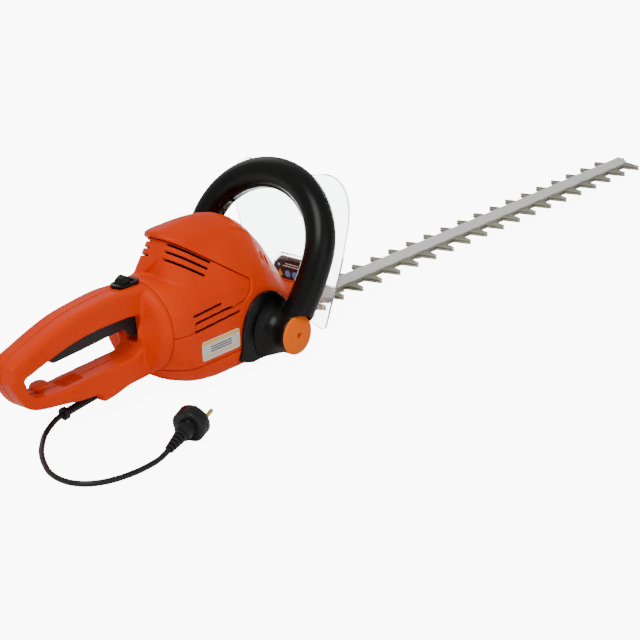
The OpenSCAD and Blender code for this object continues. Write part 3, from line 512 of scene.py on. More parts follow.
# %% Body lofts
NOSE_X, FLANGE_X, FLANGE_Z, SEAM_Z = 111.3, -130.2, 77, 32
LOW_X = [-130.2, -122, -112, -100, -88, -68, 8, 28, 60, 80, NOSE_X]
LOW_HALF = [51, 53, 54.4, 55, 55, 55, 55, 55, 51.5, 45, 34]
LOW_BASE = [26, 18.5, 11.5, 5.5, 2.2, 0, 0, 4, 10, 12.6, 17]
LOW_TOP = [128, 128, 126.5, 124, 121.5, 117.5, 97, 90, 78, 68, 50]
LOW_FOOT_R = [50.9, 45, 34, 24, 18, 15, 14, 13, 11, 9, 8]
LOW_KEEL = [0, 3, 8, 12, 14, 14.4, 14.4, 12, 6, 3, 0]
LOW_SHOULDER_R = [50.9, 46, 40, 34, 30, 26, 22, 20, 14, 12, 8]

def section(half, base, top, foot_r, shoulder_r, keel, steps=10):
    """One slice of the body: a keel that rises to round chines, then round shoulders."""
    flat, slope = min(8, (half - foot_r)*0.6), math.radians(keel)
    chine_y = half - foot_r
    chine_z = base + math.tan(slope)*(chine_y + foot_r*math.sin(slope) - flat) + foot_r*math.cos(slope)
    ring = [(flat, base)]
    for cy, cz, r, first in ((chine_y, chine_z, foot_r, keel - 90),
                             (half - shoulder_r, top - shoulder_r, shoulder_r, 0)):
        last = 0 if first < 0 else 90
        for k in range(steps + 1):
            a = math.radians(first + (last - first)*k/steps)
            ring.append((cy + r*math.cos(a), cz + r*math.sin(a)))
    return ring + [(-y, z) for y, z in reversed(ring)]

def low_body(name, inset=0.0):
    rings = []
    for x in np.arange(LOW_X[0] + inset, LOW_X[-1] - inset + 0.1, 3.0).tolist() + [LOW_X[-1] - inset]:
        half, base, top, foot_r, shoulder_r, keel = (float(np.interp(x, LOW_X, values)) for values in (
            LOW_HALF, LOW_BASE, LOW_TOP, LOW_FOOT_R, LOW_SHOULDER_R, LOW_KEEL))
        ring = section(half - inset, base + inset, top - inset, max(foot_r - inset, 1),
                       max(shoulder_r - inset, 1), keel)
        rings.append([(x, y, z) for y, z in ring])
    return skin(name, rings)

UPPER_X = [-98, -90, -80, -64, -47, -29, -12, 5, 14, 32, 49, 71, 90, NOSE_X]
APEX_Z = [175.5, 176.5, 177.3, 178, 178, 176.5, 172.5, 165, 159, 137.5, 111, 80, 63, 50]
CREASE_Z = [168.6, 168.2, 167.8, 167.2, 166.6, 164.5, 161, 153.5, 148.5, 129, 105, 73, 54, 44]
CREASE_HALF = [26, 27, 28, 29, 29.5, 29.5, 29, 28.5, 28, 27, 26, 25, 24, 23]
FOOT_Z = [108, 107, 106, 104, 102, 100, 98, 93, 90, 80, 70, 54, 44, 34]
FOOT_HALF = [41, 45, 49, 53, 54.8, 54.8, 54.8, 54.8, 54.6, 54, 52.5, 47.5, 41, 33.6]
REAR_CORNER_R = 18

DOME_FLOOR_Z = 58

def upper_body(name, inset=0.0, rear=-102.0, lean=0.0):
    rings = []
    for x in np.concatenate([rear + REAR_CORNER_R*(1 - np.cos(np.linspace(0, math.pi/2, 12))),
                             np.linspace(rear + REAR_CORNER_R + 3, NOSE_X - inset, 60)]):
        apex, crease, half, foot, side = (float(np.interp(x, UPPER_X, values)) for values in (
            APEX_Z, CREASE_Z, CREASE_HALF, FOOT_Z, FOOT_HALF))
        run = REAR_CORNER_R - min(x - rear, REAR_CORNER_R)
        pull = inset + REAR_CORNER_R - math.sqrt(REAR_CORNER_R**2 - run**2)
        half, side, apex, crease = half - pull, side - pull, apex - inset, crease - inset
        crown = [(half*t, apex - (apex - crease)*abs(t)**1.7) for t in np.linspace(1, -1, 15)]
        cheek = [(side + (half - side)*t, foot + (crease - foot)*t) for t in np.linspace(0, 0.9, 7)]
        ring = ([(side, DOME_FLOOR_Z)] + cheek + crown + [(-y, z) for y, z in reversed(cheek)]
                + [(-side, DOME_FLOOR_Z)])
        back = lean*max(0, (-50 - x)/50)
        rings.append([(x - back*max(-8, min(160 - z, 48)), y, z) for y, z in ring])
    return skin(name, rings)

# %% [markdown]
# Under the dome's rim the rear cover repeats the same form a few millimetres smaller,
# with three slots on each side that wrap round its rear corners. Its wall meets the
# shoulders of the low body in a soft hollow.

# %% The lines that split the covers
BEAK = (-11.5, 106.0)
RIM_SLOPE = math.radians(34.8)

def under_rim(distance, drop=0.0):
    """A point in X and Z, a distance back along the rim and a drop square to it."""
    return (BEAK[0] - distance*math.cos(RIM_SLOPE) - drop*math.sin(RIM_SLOPE),
            BEAK[1] + distance*math.sin(RIM_SLOPE) - drop*math.cos(RIM_SLOPE))

def rear_panel(grow):
    low = 72.4 - grow
    return [(-160, low), (-104, low), (-99, 83.4 - grow), (-45, 83.4 - grow), (-26 + grow, 86 - grow),
            (-17 + grow, 91), (-13 + grow, 99), (BEAK[0] + grow, BEAK[1]), under_rim(20, -grow),
            under_rim(140, -grow), (-160, 200)]

def slanted_slot(name, x0, z0, x1, z1, height):
    way = Vector((x1 - x0, z1 - z0)).normalized()
    across = Vector((-way[1], way[0]))*height/2
    ends = [Vector((x0, z0)), Vector((x1, z1))]
    outline = [ends[0] - across, ends[1] - across, ends[1] + across, ends[0] + across]
    return prism(name, [tuple(p) for p in outline], "y", -70, 70)

def side_vents():
    return [slanted_slot("vent", *ends, 2.7)
            for ends in ((-104, 90.5, -60, 93), (-102, 82, -46, 85.2), (-103, 72.5, -33, 76.3))]

def rear_slots():
    tools = []
    for drop, reach in ((2.5, 54), (10.4, 56), (18.6, 59)):
        for side in (-1, 1):
            ends = [under_rim(reach, drop - 1.25), under_rim(reach, drop + 1.25),
                    under_rim(130, drop + 1.25), under_rim(130, drop - 1.25)]
            tools.append(prism("rear_slot", ends, "y", *sorted((side*10.5, side*70))))
    return tools

def hollow(name):
    inside = low_body(name, 3.2)
    return join(inside, upper_body("upper_inside", 5.2, -93, 0.3))

def flange_hole():
    return rod("flange_hole", (-150, 0, FLANGE_Z), (-120, 0, FLANGE_Z), 42)

def blade_gate(top):
    return prism("blade_gate", [(-14, 15), (14, 15), (14, top), (-14, top)], "x", 100, 120)

# %% Main housing
FORM_VOXEL, EDGE_VOXEL, EDGE_PASSES = 1.3, 0.9, 2
smooth_body = soften(join(low_body("body"), upper_body("dome")), FORM_VOXEL, 7)
inside = hollow("inside")
below_seam = [(-200, -100), (200, -100), (200, 100), (-200, 100)]

main_housing = copy_of(smooth_body, "main_housing_shell")
cut(main_housing, copy_of(inside, "inside_a"), prism("under", below_seam, "z", -20, SEAM_Z),
    prism("panel", rear_panel(0.35), "y", -90, 90), *side_vents(), flange_hole())
for x, z0, z1 in ((22, 113.5, 125), (29, 109.5, 118)):
    for side in (-1, 1):
        outline = [(x - 1.2, z0), (x + 1.2, z0), (x + 1.2, z1), (x - 1.2, z1)]
        cut(main_housing, prism("front_slot", outline, "y", *sorted((side*10, side*60))))
cut(main_housing, blade_gate(36.5))
soften(main_housing, EDGE_VOXEL, EDGE_PASSES)
done(main_housing, "housing", ORANGE, "orange_shell", "main_housing", angle=60)

# %% Rear cover
rear_cover = soften(join(low_body("rear_cover_shell"), upper_body("wall", 2.2, -98, 0.42)), FORM_VOXEL, 16)
combine(rear_cover, prism("panel", rear_panel(-0.35), "y", -90, 90), "INTERSECT")
cut(rear_cover, copy_of(inside, "inside_b"), *side_vents(), *rear_slots(), flange_hole())
soften(rear_cover, EDGE_VOXEL, EDGE_PASSES)
done(rear_cover, "housing", ORANGE, "orange_shell", "rear_cover", angle=60)

# %% Bottom cover
bottom_cover = smooth_body
bottom_cover.name = "bottom_cover_shell"
cut(bottom_cover, inside, prism("over", below_seam, "z", SEAM_Z - 0.6, 220), flange_hole(), blade_gate(40))
for y in (-20, -10, 0, 10, 20):
    outline = [(-58, y - 1.5), (-32, y - 1.5), (-32, y + 1.5), (-58, y + 1.5)]
    cut(bottom_cover, prism("foot_vent", outline, "z", -5, 8))
COVER_SCREWS = ((-48, -35), (-48, 35), (44, -35), (44, 35))
for corner in COVER_SCREWS:
    cut(bottom_cover, rod("screw_well", (*corner, -1), (*corner, 10), 5.2))
soften(bottom_cover, EDGE_VOXEL, EDGE_PASSES)
done(bottom_cover, "housing", ORANGE, "orange_shell", "bottom_cover", angle=60)

# %% [markdown]
# The rear handle is a closed D: a grip on top, an arm below, a wall behind and a cone
# that swells into the round joint. It is moulded in two halves that meet on the middle
# plane. The trigger's slot is cut in after the form has been softened, so that it keeps
# its flat sides.

# %% Rear handle
HANDLE_OUTER = [(-323, 95), (-310, 101), (-296, 106), (-280, 112), (-248, 122), (-216, 127),
                (-184, 130), (-165, 129.5), (-131, 128), (-131, 26), (-165, 24), (-201, 17),
                (-207, 27), (-230, 29), (-262, 34), (-288, 38), (-303, 44), (-315, 58), (-325, 78)]
HANDLE_OPENING = [(-308, 78), (-278, 87), (-259, 92), (-241, 96), (-222, 98.6), (-202, 100),
                  (-163, 100), (-146, 98), (-143, 70), (-147, 60), (-156, 54), (-205, 52), (-250, 50),
                  (-290, 52), (-302, 58)]

def ring_with_opening(name, outer, opening, half):
    piece = prism(name, outer, "y", -half, half)
    bevel(piece, 8.5, 4, 60)
    hole = prism("opening", opening, "y", -half - 20, half + 20)
    return cut(piece, hole)

GRIP_HALF = 18
CONE_PROFILE = [(4, 13), (11, 19), (13.6, 28), (14.8, 36), (15.8, 42), (17.5, 46), (20.5, 49.2), (24, 50.7),
                (27.4, 50.9)]
back_curve = curve_through(HANDLE_OUTER[:8], 3) + HANDLE_OUTER[8:10] + curve_through(HANDLE_OUTER[10:], 3)
handle = ring_with_opening("handle", [tuple(p) for p in back_curve], HANDLE_OPENING, GRIP_HALF)
cone = turned("cone", (-158, 0, FLANGE_Z), (1, 0, 0), CONE_PROFILE, 72)
cut(cone, prism("opening", HANDLE_OPENING, "y", -15, 15))
join(handle, cone)
LEAD_RECESS = [(-253, 60), (-221, 60), (-224, 46.5), (-241, 45.6), (-250, 48)]
cut(handle, prism("lead_recess", LEAD_RECESS, "y", -8, 8))
soften(handle, 1.2, 6)

# %% Slots and wells in the handle
TRIGGER_ROOM = [(-270, 70), (-134, 64), (-134, 117), (-225, 117), (-270, 111)]
cut(handle, prism("trigger_slot", TRIGGER_ROOM, "y", -7.9, 7.9),
    prism("button_slot", [(-163, 118), (-134.5, 118), (-134.5, 140), (-163, 140)], "y", -8, 8),
    prism("bezel_seat", [(-166.3, 129.6), (-131.3, 129.6), (-131.3, 140), (-166.3, 140)], "y", -9.8, 9.8),
    rod("relief_hole", (-190, 0, 23), (-206, 0, 20.7), 4.7))
for x, z in ((-314, 84), (-216, 41), (-140, 38)):
    cut(handle, rod("screw_well", (x, 13, z), (x, 60, z), 3.7, 24))

# %% Handle halves and lead hook
for side, name in ((1, "left"), (-1, "right")):
    half = copy_of(handle, "handle_" + name + "_shell")
    cut(half, prism("other_side", [(-400, -50), (0, -50), (0, 250), (-400, 250)], "y",
                    *sorted((side*0.05, -side*80))))
    done(soften(half, EDGE_VOXEL, 1), "housing", ORANGE, "orange_shell", "handle_" + name, angle=60)
bpy.data.objects.remove(handle)
HOOK_PROFILE = [(0, 4.5), (9, 4.5), (10.6, 5.2), (11.2, 8.6), (12, 9.6), (13, 9.8), (13.9, 9.2), (14.3, 7.5)]
hook = turned("lead_hook", (-275, 0, 46), (-0.2, 0, 1), HOOK_PROFILE, 40)
done(hook, "housing", ORANGE, "orange_shell")

# %% [markdown]
# The trigger is a long grey bar with a hooked front end, hinged at the rear. Its top is
# hidden in the slot above it, which is tall enough to take the front end at full squeeze.
# The lock-off button is a small ribbed slider in an oblong frame on top of the grip. Both
# are prisms with bevelled edges, since their side outlines carry all of the shape.

# %% Trigger
TRIGGER_SIDE = [(-266, 95), (-265.5, 82), (-260, 77.8), (-219, 80), (-180, 82.8), (-160, 83.4),
                (-152, 79), (-147, 71.5), (-141, 71.5), (-139.8, 76), (-139.8, 98), (-163, 106.5),
                (-202, 106.5), (-241, 103.5), (-262, 105.5)]
trigger = bevel(prism("trigger_moulding", TRIGGER_SIDE, "y", -7.4, 7.4), 2.2, 3, 30)
done(trigger, "trigger", TRIGGER_GREY, "trigger_grey", "trigger")

# %% Lock-off button and its frame
button_low, button_high = box_mm("lock_off_button")
x0, x1, z0, z1 = button_low.x, button_high.x, button_low.z, button_high.z
RIBS, RIB_PITCH = 4, 2.1
button_side = [(x0, z0), (x1, z0), (x1, z0 + 3.5), (x1 - 1.5, z0 + 3.5), (x1 - 1.5, z1 - 3), (x1 - 4, z1),
               (x0 + 9, z1 - 0.4), (x0 + 4, z1 - 3.5), (x0 + 1.5, z1 - 7), (x0 + 1.5, z0 + 3.5),
               (x0, z0 + 3.5)]
button = prism("lock_off_slider", button_side, "y", -6, 6)
for k in range(RIBS):
    x = x0 + 5.2 + RIB_PITCH*k
    rib_gap = [(x, z1 - 1.1), (x + 1, z1 - 1.1), (x + 1, z1 + 2), (x, z1 + 2)]
    cut(button, prism("rib_gap", rib_gap, "y", -9, 9))
done(bevel(button, 0.5, 2), "lock_button", BLACK, "trigger_grey", "lock_off_button")

def oblong(cx, reach, r, steps=15):
    """Two half circles of radius r, each a reach away from the middle."""
    return [(cx + s*reach + r*math.cos(a), r*math.sin(a)) for s, first in ((1, -90), (-1, 90))
            for a in np.radians(np.linspace(first, first + 180, steps))]

low, high = box_mm("lock_off_bezel")
FRAME_R = 9.5
bezel = prism("lock_off_frame", oblong((high.x + low.x)/2, (high.x - low.x)/2 - FRAME_R, FRAME_R, 17), "z",
              low.z, high.z)
cut(bezel, prism("button_hole", [(x0 + 0.6, -6.3), (x1 + 6.3, -6.3), (x1 + 6.3, 6.3), (x0 + 0.6, 6.3)], "z",
                 100, 160))
done(bevel(bezel, 0.9, 3), "housing", BLACK, "black_plastic", "lock_off_bezel")

# %% [markdown]
# Under the slider lies a black sheet of painted shade, so that no bright shell shows through its frame where
# the slot lies in shade.
# The bottom cover is held by four screws that point up, their domed heads at the
# bottom, in the wells cut for them. Each is turned from a profile, then two slots cross.

# %% Painted shade sheet under the slider, and underside screws
# A thin black plate under the slider paints the shade inside the slot.
shade_sheet_side = [(x0 - 3, z0 - 1.6), (x1 + 7.5, z0 - 1.6), (x1 + 7.5, z0 - 0.6), (x0 - 3, z0 - 0.6)]
done(prism("slider_shade_sheet", shade_sheet_side, "y", -7.6, 7.6), "housing", BLACK, "black_plastic")

def round_head_screw(name, x, y, z_head, z_end, r_head, r_shank):
    """A screw that points up, with a domed head and a cross of two slots."""
    profile = [(0, r_head*0.55), (0.5, r_head*0.85), (1.3, r_head), (2.4, r_head), (2.5, r_shank),
               (z_end - z_head, r_shank)]
    screw = turned(name, (x, y, z_head), (0, 0, 1), profile, 28)
    arm, w = r_head*0.6, 0.5
    for a, b in ((arm, w), (w, arm)):
        cut(screw, prism("cross", [(x - a, y - b), (x + a, y - b), (x + a, y + b), (x - a, y + b)], "z",
                         z_head - 1, z_head + 1.1))
    return screw

HEAD_Z, HEAD_R, SHANK_R = 8.2, 3.6, 1.9
screw_end = box_mm("bottom_screws")[1].z
underside = [round_head_screw("underside_screw", x, y, HEAD_Z, screw_end, HEAD_R, SHANK_R)
             for x, y in COVER_SCREWS]
done(join(*underside), "housing", STEEL, "steel", "bottom_screws")

# %% [markdown]
# The front handle is one tube bent into a tall loop, made of a front and a rear shell
# with a sprung switch bar in the groove inside it. A ring of profile points is carried
# round the loop's centre line, just as a sweep would do it.

# %% The loop's centre line
low, high = box_mm("loop_hub_left")
HUB_X, HUB_Z, HUB_IN, HUB_OUT = (low.x + high.x)/2, (low.z + high.z)/2, low.y, high.y
LOOP_A, LOOP_LOW, LOOP_TOP, LOOP_R = 88, 84.5, 84.5, 17
LEG = math.acos((HUB_OUT - LOOP_R + 3.5)/LOOP_A)
LEAN = math.radians(64)
LOOP_UP = np.array([math.cos(LEAN), 0, math.sin(LEAN)])
LOOP_FRONT = np.array([math.sin(LEAN), 0, -math.cos(LEAN)])

def loop_point(a):
    rise = LOOP_TOP*math.sin(a) if math.sin(a) >= 0 else LOOP_LOW*math.sin(a)/math.sin(LEG)
    return np.array([HUB_X, 0, HUB_Z]) + (LOOP_LOW + rise)*LOOP_UP + np.array([0, LOOP_A*math.cos(a), 0])

def loop_sweep(name, profile, first, last, steps):
    rings = []
    for a in np.linspace(first, last, steps + 1):
        tangent = loop_point(a + 0.002) - loop_point(a - 0.002)
        out = np.cross(tangent/np.linalg.norm(tangent), LOOP_FRONT)
        rings.append([loop_point(a) + p[0]*out + p[1]*LOOP_FRONT for p in profile])
    return skin(name, rings)

print("loop top", tuple(round(v, 1) for v in loop_point(math.pi/2)), "leg angle", round(math.degrees(LEG), 1))

# %% The loop's two shells
def arc(r, first, last, steps):
    return [(r*math.cos(a), r*math.sin(a)) for a in np.radians(np.linspace(first, last, steps + 1))]

GROOVE = 6
groove_angle = math.degrees(math.asin(GROOVE/LOOP_R))
groove_wall = [(-LOOP_R + 1.4, GROOVE + 0.6), (-LOOP_R + 2.4, GROOVE), (-10.5, GROOVE), (-10.5, 0.15),
               (-8.5, 0.15)]
half_profile = arc(LOOP_R, 0.5, 178 - groove_angle, 26) + groove_wall + arc(14, 127, 0.7, 10)

def on_hub_axis(name, side, start, end, radius, sides=64):
    return rod(name, (HUB_X, side*start, HUB_Z), (HUB_X, side*end, HUB_Z), radius, sides)

def past_the_hubs():
    """Rods that clear each hub's core, and a wider one beyond its end face for the cap."""
    tools = []
    for side in (-1, 1):
        tools.append(on_hub_axis("hub_room", side, HUB_IN - 8, HUB_OUT + 1, 20))
        tools.append(on_hub_axis("cap_room", side, HUB_OUT - 0.1, 150, 23))
    return tools

for name, flip in (("loop_front_shell", 1), ("loop_rear_shell", -1)):
    profile = [(p[0], flip*p[1]) for p in half_profile]
    shell = cut(loop_sweep(name + "_tube", profile, -LEG, math.pi + LEG, 150), *past_the_hubs())
    done(shell, "housing", BLACK, "black_plastic", name, angle=50)

# %% Switch bar and the strips in the legs
def bar_profile(proud, deep):
    """A strip in the groove, proud of the tube, with two cut corners."""
    w, c = GROOVE - 0.4, 1.6
    return [(-deep, -w), (-deep, w), (-LOOP_R - proud + c, w), (-LOOP_R - proud, w - c),
            (-LOOP_R - proud, c - w), (-LOOP_R - proud + c, -w)]

span = math.radians(48)
switch_bar = loop_sweep("loop_switch_strip", bar_profile(1.5, 13.9), math.pi/2 - span, math.pi/2 + span, 70)
done(switch_bar, "loop_switch", BLACK, "trigger_grey", "loop_switch_bar")
gap = math.radians(52)
strips = loop_sweep("loop_strip_a", bar_profile(0.2, 10.6), -LEG, math.pi/2 - gap, 50)
join(strips, loop_sweep("loop_strip_b", bar_profile(0.2, 10.6), math.pi/2 + gap, math.pi + LEG, 50))
strips.name = "loop_strips"
cut(strips, *past_the_hubs())
done(strips, "housing", BLACK, "black_plastic", "loop_leg_strips")

# %% [markdown]
# Each side carries a bracket plate with an arched top. From it a hub flares out, and the
# loop's foot curves into that hub. Joining foot and hub and remeshing them gives the
# moulded fillet between them. An orange cap with a hole closes each hub. Low down, a heel
# reaches in from each plate under the body's round edge, so that no gap shows there.

# %% Brackets, hubs and caps
BRACKET_SIDE = [(-20, 12), (23, 15), (42, 24), (46, 44), (40, 62), (27, 79), (11, 87), (-8, 86), (-23, 74),
                (-33, 54), (-36, 30), (-39, 19)]
PLATE_IN, PLATE_OUT = 55.35, 58.3
HUB_PROFILE = [(0, 41), (0.8, 37), (2.4, 32.5), (5, 28.5), (8.5, 25.6), (12.5, 23.6), (17, 22.7),
               (HUB_OUT - HUB_IN, 22.5)]
CAP_PROFILE = [(0, 3), (0, 22.2), (0.5, 22.6), (1.4, 22.5), (2.2, 22), (3, 20.6), (3.9, 17), (4.7, 12),
               (5.1, 7), (5.2, 4.9), (5.0, 4), (4.0, 3.3)]
for side, name in ((1, "left"), (-1, "right")):
    outline = [tuple(p) for p in curve_through(BRACKET_SIDE[1:] + BRACKET_SIDE[:1], 4)]
    bracket = prism("bracket_" + name + "_plate", outline, "y", *sorted((side*PLATE_IN, side*PLATE_OUT)))
    bevel(bracket, 1.2, 3, 50)
    heel = prism("bracket_heel", outline, "y", *sorted((side*40, side*(PLATE_OUT - 1))))
    combine(heel, prism("heel_limit", [(-60, 0), (70, 0), (70, 30), (-60, 30)], "y", -90, 90), "INTERSECT")
    join(bracket, bevel(heel, 0.8, 2, 50))
    done(bracket, "housing", BLACK, "black_plastic", "bracket_" + name)
    hub = turned("hub_" + name, (HUB_X, side*HUB_IN, HUB_Z), (0, side, 0), HUB_PROFILE, 72)
    combine(hub, prism("bracket_limit", outline, "y", *sorted((side*20, side*140))), "INTERSECT")
    first = -LEG if side > 0 else math.pi + LEG
    join(hub, loop_sweep("stub", arc(LOOP_R + 0.25, 0, 345, 23), first, first + side*0.2, 12))
    cut(hub, prism("inner_side", [(-60, -50), (100, -50), (100, 200), (-60, 200)], "y",
                   *sorted((side*(HUB_IN - 0.1), 0))))
    soften(hub, 1.0, 12)
    cut(hub, on_hub_axis("end_face", side, HUB_OUT - 0.05, 140, 23.2, 72),
        on_hub_axis("bolt_well", side, HUB_OUT - 5, HUB_OUT + 9, 8, 32))
    done(hub, "housing", BLACK, "black_plastic", "loop_hub_" + name, angle=50)
    cap_foot = (HUB_X, side*(HUB_OUT + 0.3), HUB_Z)
    cap = turned("cap_" + name, cap_foot, (0, side, 0), CAP_PROFILE, 72, ring=True)
    done(cap, "housing", CAP_ORANGE, "cap_orange", "end_cap_" + name)

# %% [markdown]
# The guard is a clear sheet with a smooth shield outline and a raised lip around a
# black label. One outline, mirrored, gives the sheet, and its bevel gives the bright
# line that real sheet shows along its edge.

# %% Guard
low, high = box_mm("guard")
TOP = high.z
GUARD_HALF = [(0, TOP - 7), (36, TOP - 3.5), (52, TOP), (69, TOP - 1), (81, TOP - 10),
              (87.5, TOP - 26), (87.5, TOP - 47), (80, TOP - 80), (73, TOP - 107), (65.5, 63.5),
              (55.5, 34), (48, 11), (42.5, 5.6), (28.6, 9.4), (24, 11)]
edge = [tuple(p) for p in curve_through(GUARD_HALF, 5)]
outline = edge + [(24, 40), (-24, 40)] + [(-y, z) for y, z in reversed(edge[1:])]
sheet_x0, sheet_x1 = low.x, high.x - 4
guard = bevel(prism("guard_sheet", outline, "x", sheet_x0, sheet_x1), 1.1, 3, 50)
lip_outer = [(36, 41), (36, 60), (35, 74.5), (21, 86), (-21, 86), (-35, 74.5), (-36, 60), (-36, 41)]
lip_inner = [(34, 30), (34, 60), (31, 74), (20.5, 83.2), (-20.5, 83.2), (-31, 74), (-34, 60), (-34, 30)]
lip = prism("lip", lip_outer, "x", sheet_x1 - 1, high.x)
cut(lip, prism("lip_hole", lip_inner, "x", sheet_x1, 140))
join(guard, lip)
done(guard, "housing", CLEAR, "clear_guard", "guard", angle=50)

# %% Label
low, high = box_mm("warning_label")
LABEL_FACE = [(-27, 56), (27, 56), (27, 71), (25, 74.5), (21, 78), (17, 80), (-17, 80), (-21, 78),
              (-25, 74.5), (-27, 71)]
label = bevel(prism("label_plate", LABEL_FACE, "x", low.x, high.x), 0.15, 1)
done(label, "housing", LABEL, "label_black", "warning_label")

# %% [markdown]
# Plain marks stand for the print: a triangle, two discs and some bars on the label, and
# three ruled lines on each side sticker. They are thin plates, so they catch the light
# like printed film, and they say nothing that could be read.

# %% Plain marks on the label and stickers
def print_ink(name, colour, deep):
    return material(name, colour, deep, grain=500, bump=0.03, wear=0.2, dust=0.1)

WHITE_PRINT = print_ink("white_print", (0.7, 0.7, 0.68), (0.6, 0.6, 0.58))
AMBER_PRINT = print_ink("amber_print", (0.85, 0.42, 0.02), (0.78, 0.36, 0.015))
BLUE_PRINT = print_ink("blue_print", (0.12, 0.3, 0.62), (0.1, 0.25, 0.55))
DARK_PRINT = print_ink("dark_print", (0.03, 0.03, 0.03), (0.02, 0.02, 0.02))

def mark(name, outlines, axis, start, end, paint, slot):
    piece = None
    for outline in outlines:
        plate = prism(name, outline, axis, start, end)
        piece = join(piece, plate) if piece else plate
    return done(piece, "housing", paint, slot)

def disc(cx, cz, r, steps=28):
    return [(cx + r*math.cos(a), cz + r*math.sin(a))
            for a in np.linspace(0, 2*math.pi, steps, endpoint=False)]

def bar(x0, x1, z0, z1):
    return [(x0, z0), (x1, z0), (x1, z1), (x0, z1)]

mark_x0, mark_x1 = low.x - 0.12, low.x + 0.05
mark("label_triangle", [[(14, 60), (23, 60), (18.5, 68)]], "x", mark_x0, mark_x1, AMBER_PRINT, "label_black")
mark("label_rings", [disc(7, 63.5, 4.2), disc(-4, 63.5, 4.2)], "x", mark_x0, mark_x1, BLUE_PRINT,
     "label_black")
mark("label_bars", [bar(-22, -11, 60, 61.2), bar(-22, -11, 62.8, 64), bar(-22, -11, 65.6, 66.8),
                    bar(-14, 14, 72, 73.2), bar(-10, 10, 75, 76), disc(20, 73, 1.6)], "x", mark_x0, mark_x1,
     WHITE_PRINT, "label_black")
low, high = box_mm("side_sticker_right")
mid_x, mid_z = (low.x + high.x)/2, (low.z + high.z)/2
for side, name in ((1, "left"), (-1, "right")):
    ends = sorted((side*55.3, side*55.62))
    mark("sticker_lines_" + name, [bar(mid_x - 16, mid_x + 16, mid_z + rise, mid_z + rise + 1.1)
                                   for rise in (-3.2, -0.6, 2.0)], "y", *ends, DARK_PRINT, "sticker_silver")

# %% [markdown]
# The two blades are flat combs with teeth on both sides. Each tooth is ground, so its
# edge has a narrow bevel that catches the light. The far row sits half a pitch from the near
# one. A ribbed bar runs on top, held by six screws, and keeps the blades straight.

# %% Blades
PITCH, FIRST_TOOTH, TEETH, ROOT, TIP_R, REACH, SPINE = 35, 130, 20, 15, 2.5, 31, 10
THROW, YOKE_R, YOKE_WALL = 6, 18.3, 5

def tooth(x, side):
    tip = [(x - TIP_R*math.cos(a), side*(REACH - TIP_R + TIP_R*math.sin(a)))
           for a in np.radians(np.linspace(0, 180, 7))]
    return [(x - ROOT/2, side*SPINE)] + tip + [(x + ROOT/2, side*SPINE)]

def comb(name, z0, z1):
    last = FIRST_TOOTH + (TEETH - 1)*PITCH
    near = [p for i in range(TEETH) for p in tooth(FIRST_TOOTH + i*PITCH, -1)]
    far = [p for i in range(TEETH - 1) for p in tooth(FIRST_TOOTH + (i + 0.5)*PITCH, 1)]
    outline = [(0, -SPINE)] + near + [(last + ROOT/2, SPINE)] + far[::-1] + [(0, SPINE)]
    blade = bevel(prism(name, outline, "z", z0, z1), 0.75, 1, 50)
    join(blade, prism("yoke", oblong(0, THROW, YOKE_R + YOKE_WALL), "z", z0, z1))
    return cut(blade, prism("yoke_hole", oblong(0, THROW, YOKE_R), "z", z0 - 1, z1 + 1),
               *[prism("slot", oblong(x, THROW, 4.3), "z", z0 - 1, z1 + 1) for x in SCREWS])

bar_low, bar_high = box_mm("blade_bar")
SCREWS = [bar_low.x + 8 + i*(bar_high.x - bar_low.x - 24)/5 for i in range(6)]
for name in ("upper_blade", "lower_blade"):
    low, high = box_mm(name)
    done(comb(name + "_ground", low.z, high.z), name + "_body", BLADE_STEEL, "blade_steel", name, angle=25)

# %% Blade bar
half, z0, top = bar_high.y, bar_low.z, bar_high.z
section_points = [(-half, z0), (half, z0), (half, z0 + 2.2), (half - 0.8, z0 + 3),
                  (half - 2.6, z0 + 3.6), (half - 4, top - 0.6), (half - 4.8, top), (2.2, top),
                  (1.6, top - 0.7), (-1.6, top - 0.7), (-2.2, top), (4.8 - half, top),
                  (4 - half, top - 0.6), (2.6 - half, z0 + 3.6), (0.8 - half, z0 + 3),
                  (-half, z0 + 2.2)]
rail = prism("blade_rail", section_points, "x", bar_low.x, bar_high.x)
cut(rail, *[rod("thread", (x, 0, z0 - 1), (x, 0, z0 + 4), 2.5, 24) for x in SCREWS])
# Its finish paints the bar's reflection as near-white diffuse colour.
done(rail, "housing", BAR_METAL_WITH_PAINTED_SHEEN, "bar_aluminium", "blade_bar", angle=25)

# %% [markdown]
# Where the lead leaves the handle, a ribbed rubber sleeve keeps it from kinking. At the
# far end sits a round mains plug with a ribbed tail and two pins. All of these are
# turned shapes, and one function gives both of their ribbed stretches.

# %% Strain relief
def ribbed(length, r0, r1, ribs, depth):
    profile = []
    for k in range(ribs):
        for part, dip in ((0.0, 0), (0.55, 0), (0.62, depth), (0.93, depth)):
            t = (k + part)/ribs
            profile.append((t*length, r0 + (r1 - r0)*t - dip))
    return profile + [(length, r1)]

relief_start, relief_end = Vector((-199, 0, 21.5)), Vector((-249, 0, 15.5))
way = (relief_end - relief_start).normalized()
ribs = [(d + 8, r) for d, r in ribbed(36, 4.5, 4.4, 9, 0.6)]
collar = [(44.2, 6.2), (44.9, 7), (49.6, 7), (50.3, 6.2), (50.3, 3.2)]
relief = turned("strain_relief_sleeve", relief_start, way, [(0, 4.5), (8, 4.5)] + ribs + collar, 40)
done(relief, "housing", RUBBER, "rubber_black", "strain_relief")

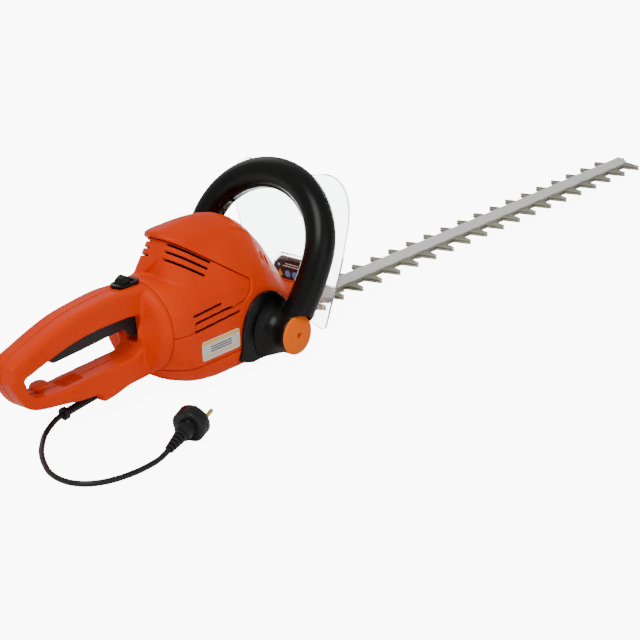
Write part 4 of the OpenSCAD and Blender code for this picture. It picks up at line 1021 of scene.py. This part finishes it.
# %% Plug
TILT, TURN = math.radians(14), math.radians(13)
plug_tail = Vector(CORD_ROUTE[-1])
plug_way = Vector((math.cos(TILT)*math.cos(TURN), math.cos(TILT)*math.sin(TURN), math.sin(TILT)))
PLUG_HEAD = [(26.5, 9.2), (30, 9.8), (35, 9.9), (37.1, 10.5), (37.1, 16.6), (37.6, 17.8), (38.6, 18.4),
             (45, 18.4), (45.3, 18.0), (46.3, 18.0), (46.6, 18.4), (51.6, 18.4), (52.6, 17.8), (52.95, 17)]
plug = turned("plug_moulding", plug_tail, plug_way, ribbed(25, 4.6, 7.4, 5, 1.2) + PLUG_HEAD, 64)
done(plug, "housing", RUBBER, "rubber_black", "plug_body")
pin_side = Vector((-plug_way.y, plug_way.x, 0)).normalized()
PIN_PROFILE, PIN_APART = [(-2, 2.3), (16.6, 2.3), (17.6, 2.1), (18.5, 1.5), (18.95, 0.6)], 19
pin_feet = [plug_tail + 53*plug_way + s*PIN_APART/2*pin_side for s in (-1, 1)]
pins = join(*[turned("plug_pins_turned", foot, plug_way, PIN_PROFILE, 24) for foot in pin_feet])
done(pins, "housing", BRASS, "brass", "plug_pins")

# %% [markdown]
# The object stands on a plain pale floor. The floor glows only for rays from the camera
# and through clear plastic, so that it looks white while its glow lights nothing else.

# %% Floor
FLOOR_HALF, FLOOR_Z, FLOOR_GLOW = 6, -0.0002, 9.0
floor_corners = [(x*FLOOR_HALF, y*FLOOR_HALF, FLOOR_Z) for x, y in ((-1, -1), (1, -1), (1, 1), (-1, 1))]
floor = piece_from("floor", floor_corners, [(0, 1, 2, 3)])
floor_paint = bpy.data.materials.new("floor_paint")
floor_paint.use_nodes = True
tree = floor_paint.node_tree
shader = tree.nodes["Principled BSDF"]
shader.inputs["Base Color"].default_value = (0.95, 0.95, 0.95, 1)
shader.inputs["Roughness"].default_value = 0.8
shader.inputs["Emission Color"].default_value = (1, 1, 1, 1)
ray = tree.nodes.new("ShaderNodeLightPath")
seen = math_node(tree, "MAXIMUM", ray.outputs["Is Camera Ray"], ray.outputs["Is Transmission Ray"])
tree.links.new(math_node(tree, "MULTIPLY", seen, FLOOR_GLOW), shader.inputs["Emission Strength"])
floor.data.materials.append(floor_paint)
print("floor", 2*FLOOR_HALF, "m wide")

# %% [markdown]
# Three square lamps give soft light: the key above and behind the tool, a weak fill low
# on its right, and a weak one from the front left. An even pale sky fills the shadows.

# %% Lamps and sky
def softbox(name, place, target, size, power):
    data = bpy.data.lights.new(name, "AREA")
    data.shape, data.size, data.energy = "SQUARE", size, power
    lamp = bpy.data.objects.new(name, data)
    bpy.context.collection.objects.link(lamp)
    lamp.location = place
    lamp.rotation_euler = (Vector(target) - Vector(place)).to_track_quat("-Z", "Y").to_euler()

softbox("key", (-1.3, -0.6, 2.2), (0, 0, 0.05), 1.4, 42)
softbox("fill", (-0.3, -2.4, 0.9), (0, 0, 0.08), 1.8, 8)
softbox("back", (1.0, 2.0, 1.6), (0.2, 0, 0.1), 1.6, 7)
world = bpy.data.worlds.new("studio")
bpy.context.scene.world = world
world.use_nodes = True
sky = world.node_tree.nodes["Background"]
sky.inputs["Color"].default_value = (1, 1, 1, 1)
sky.inputs["Strength"].default_value = 0.5
print("lamps", [lamp.name for lamp in bpy.data.lights])
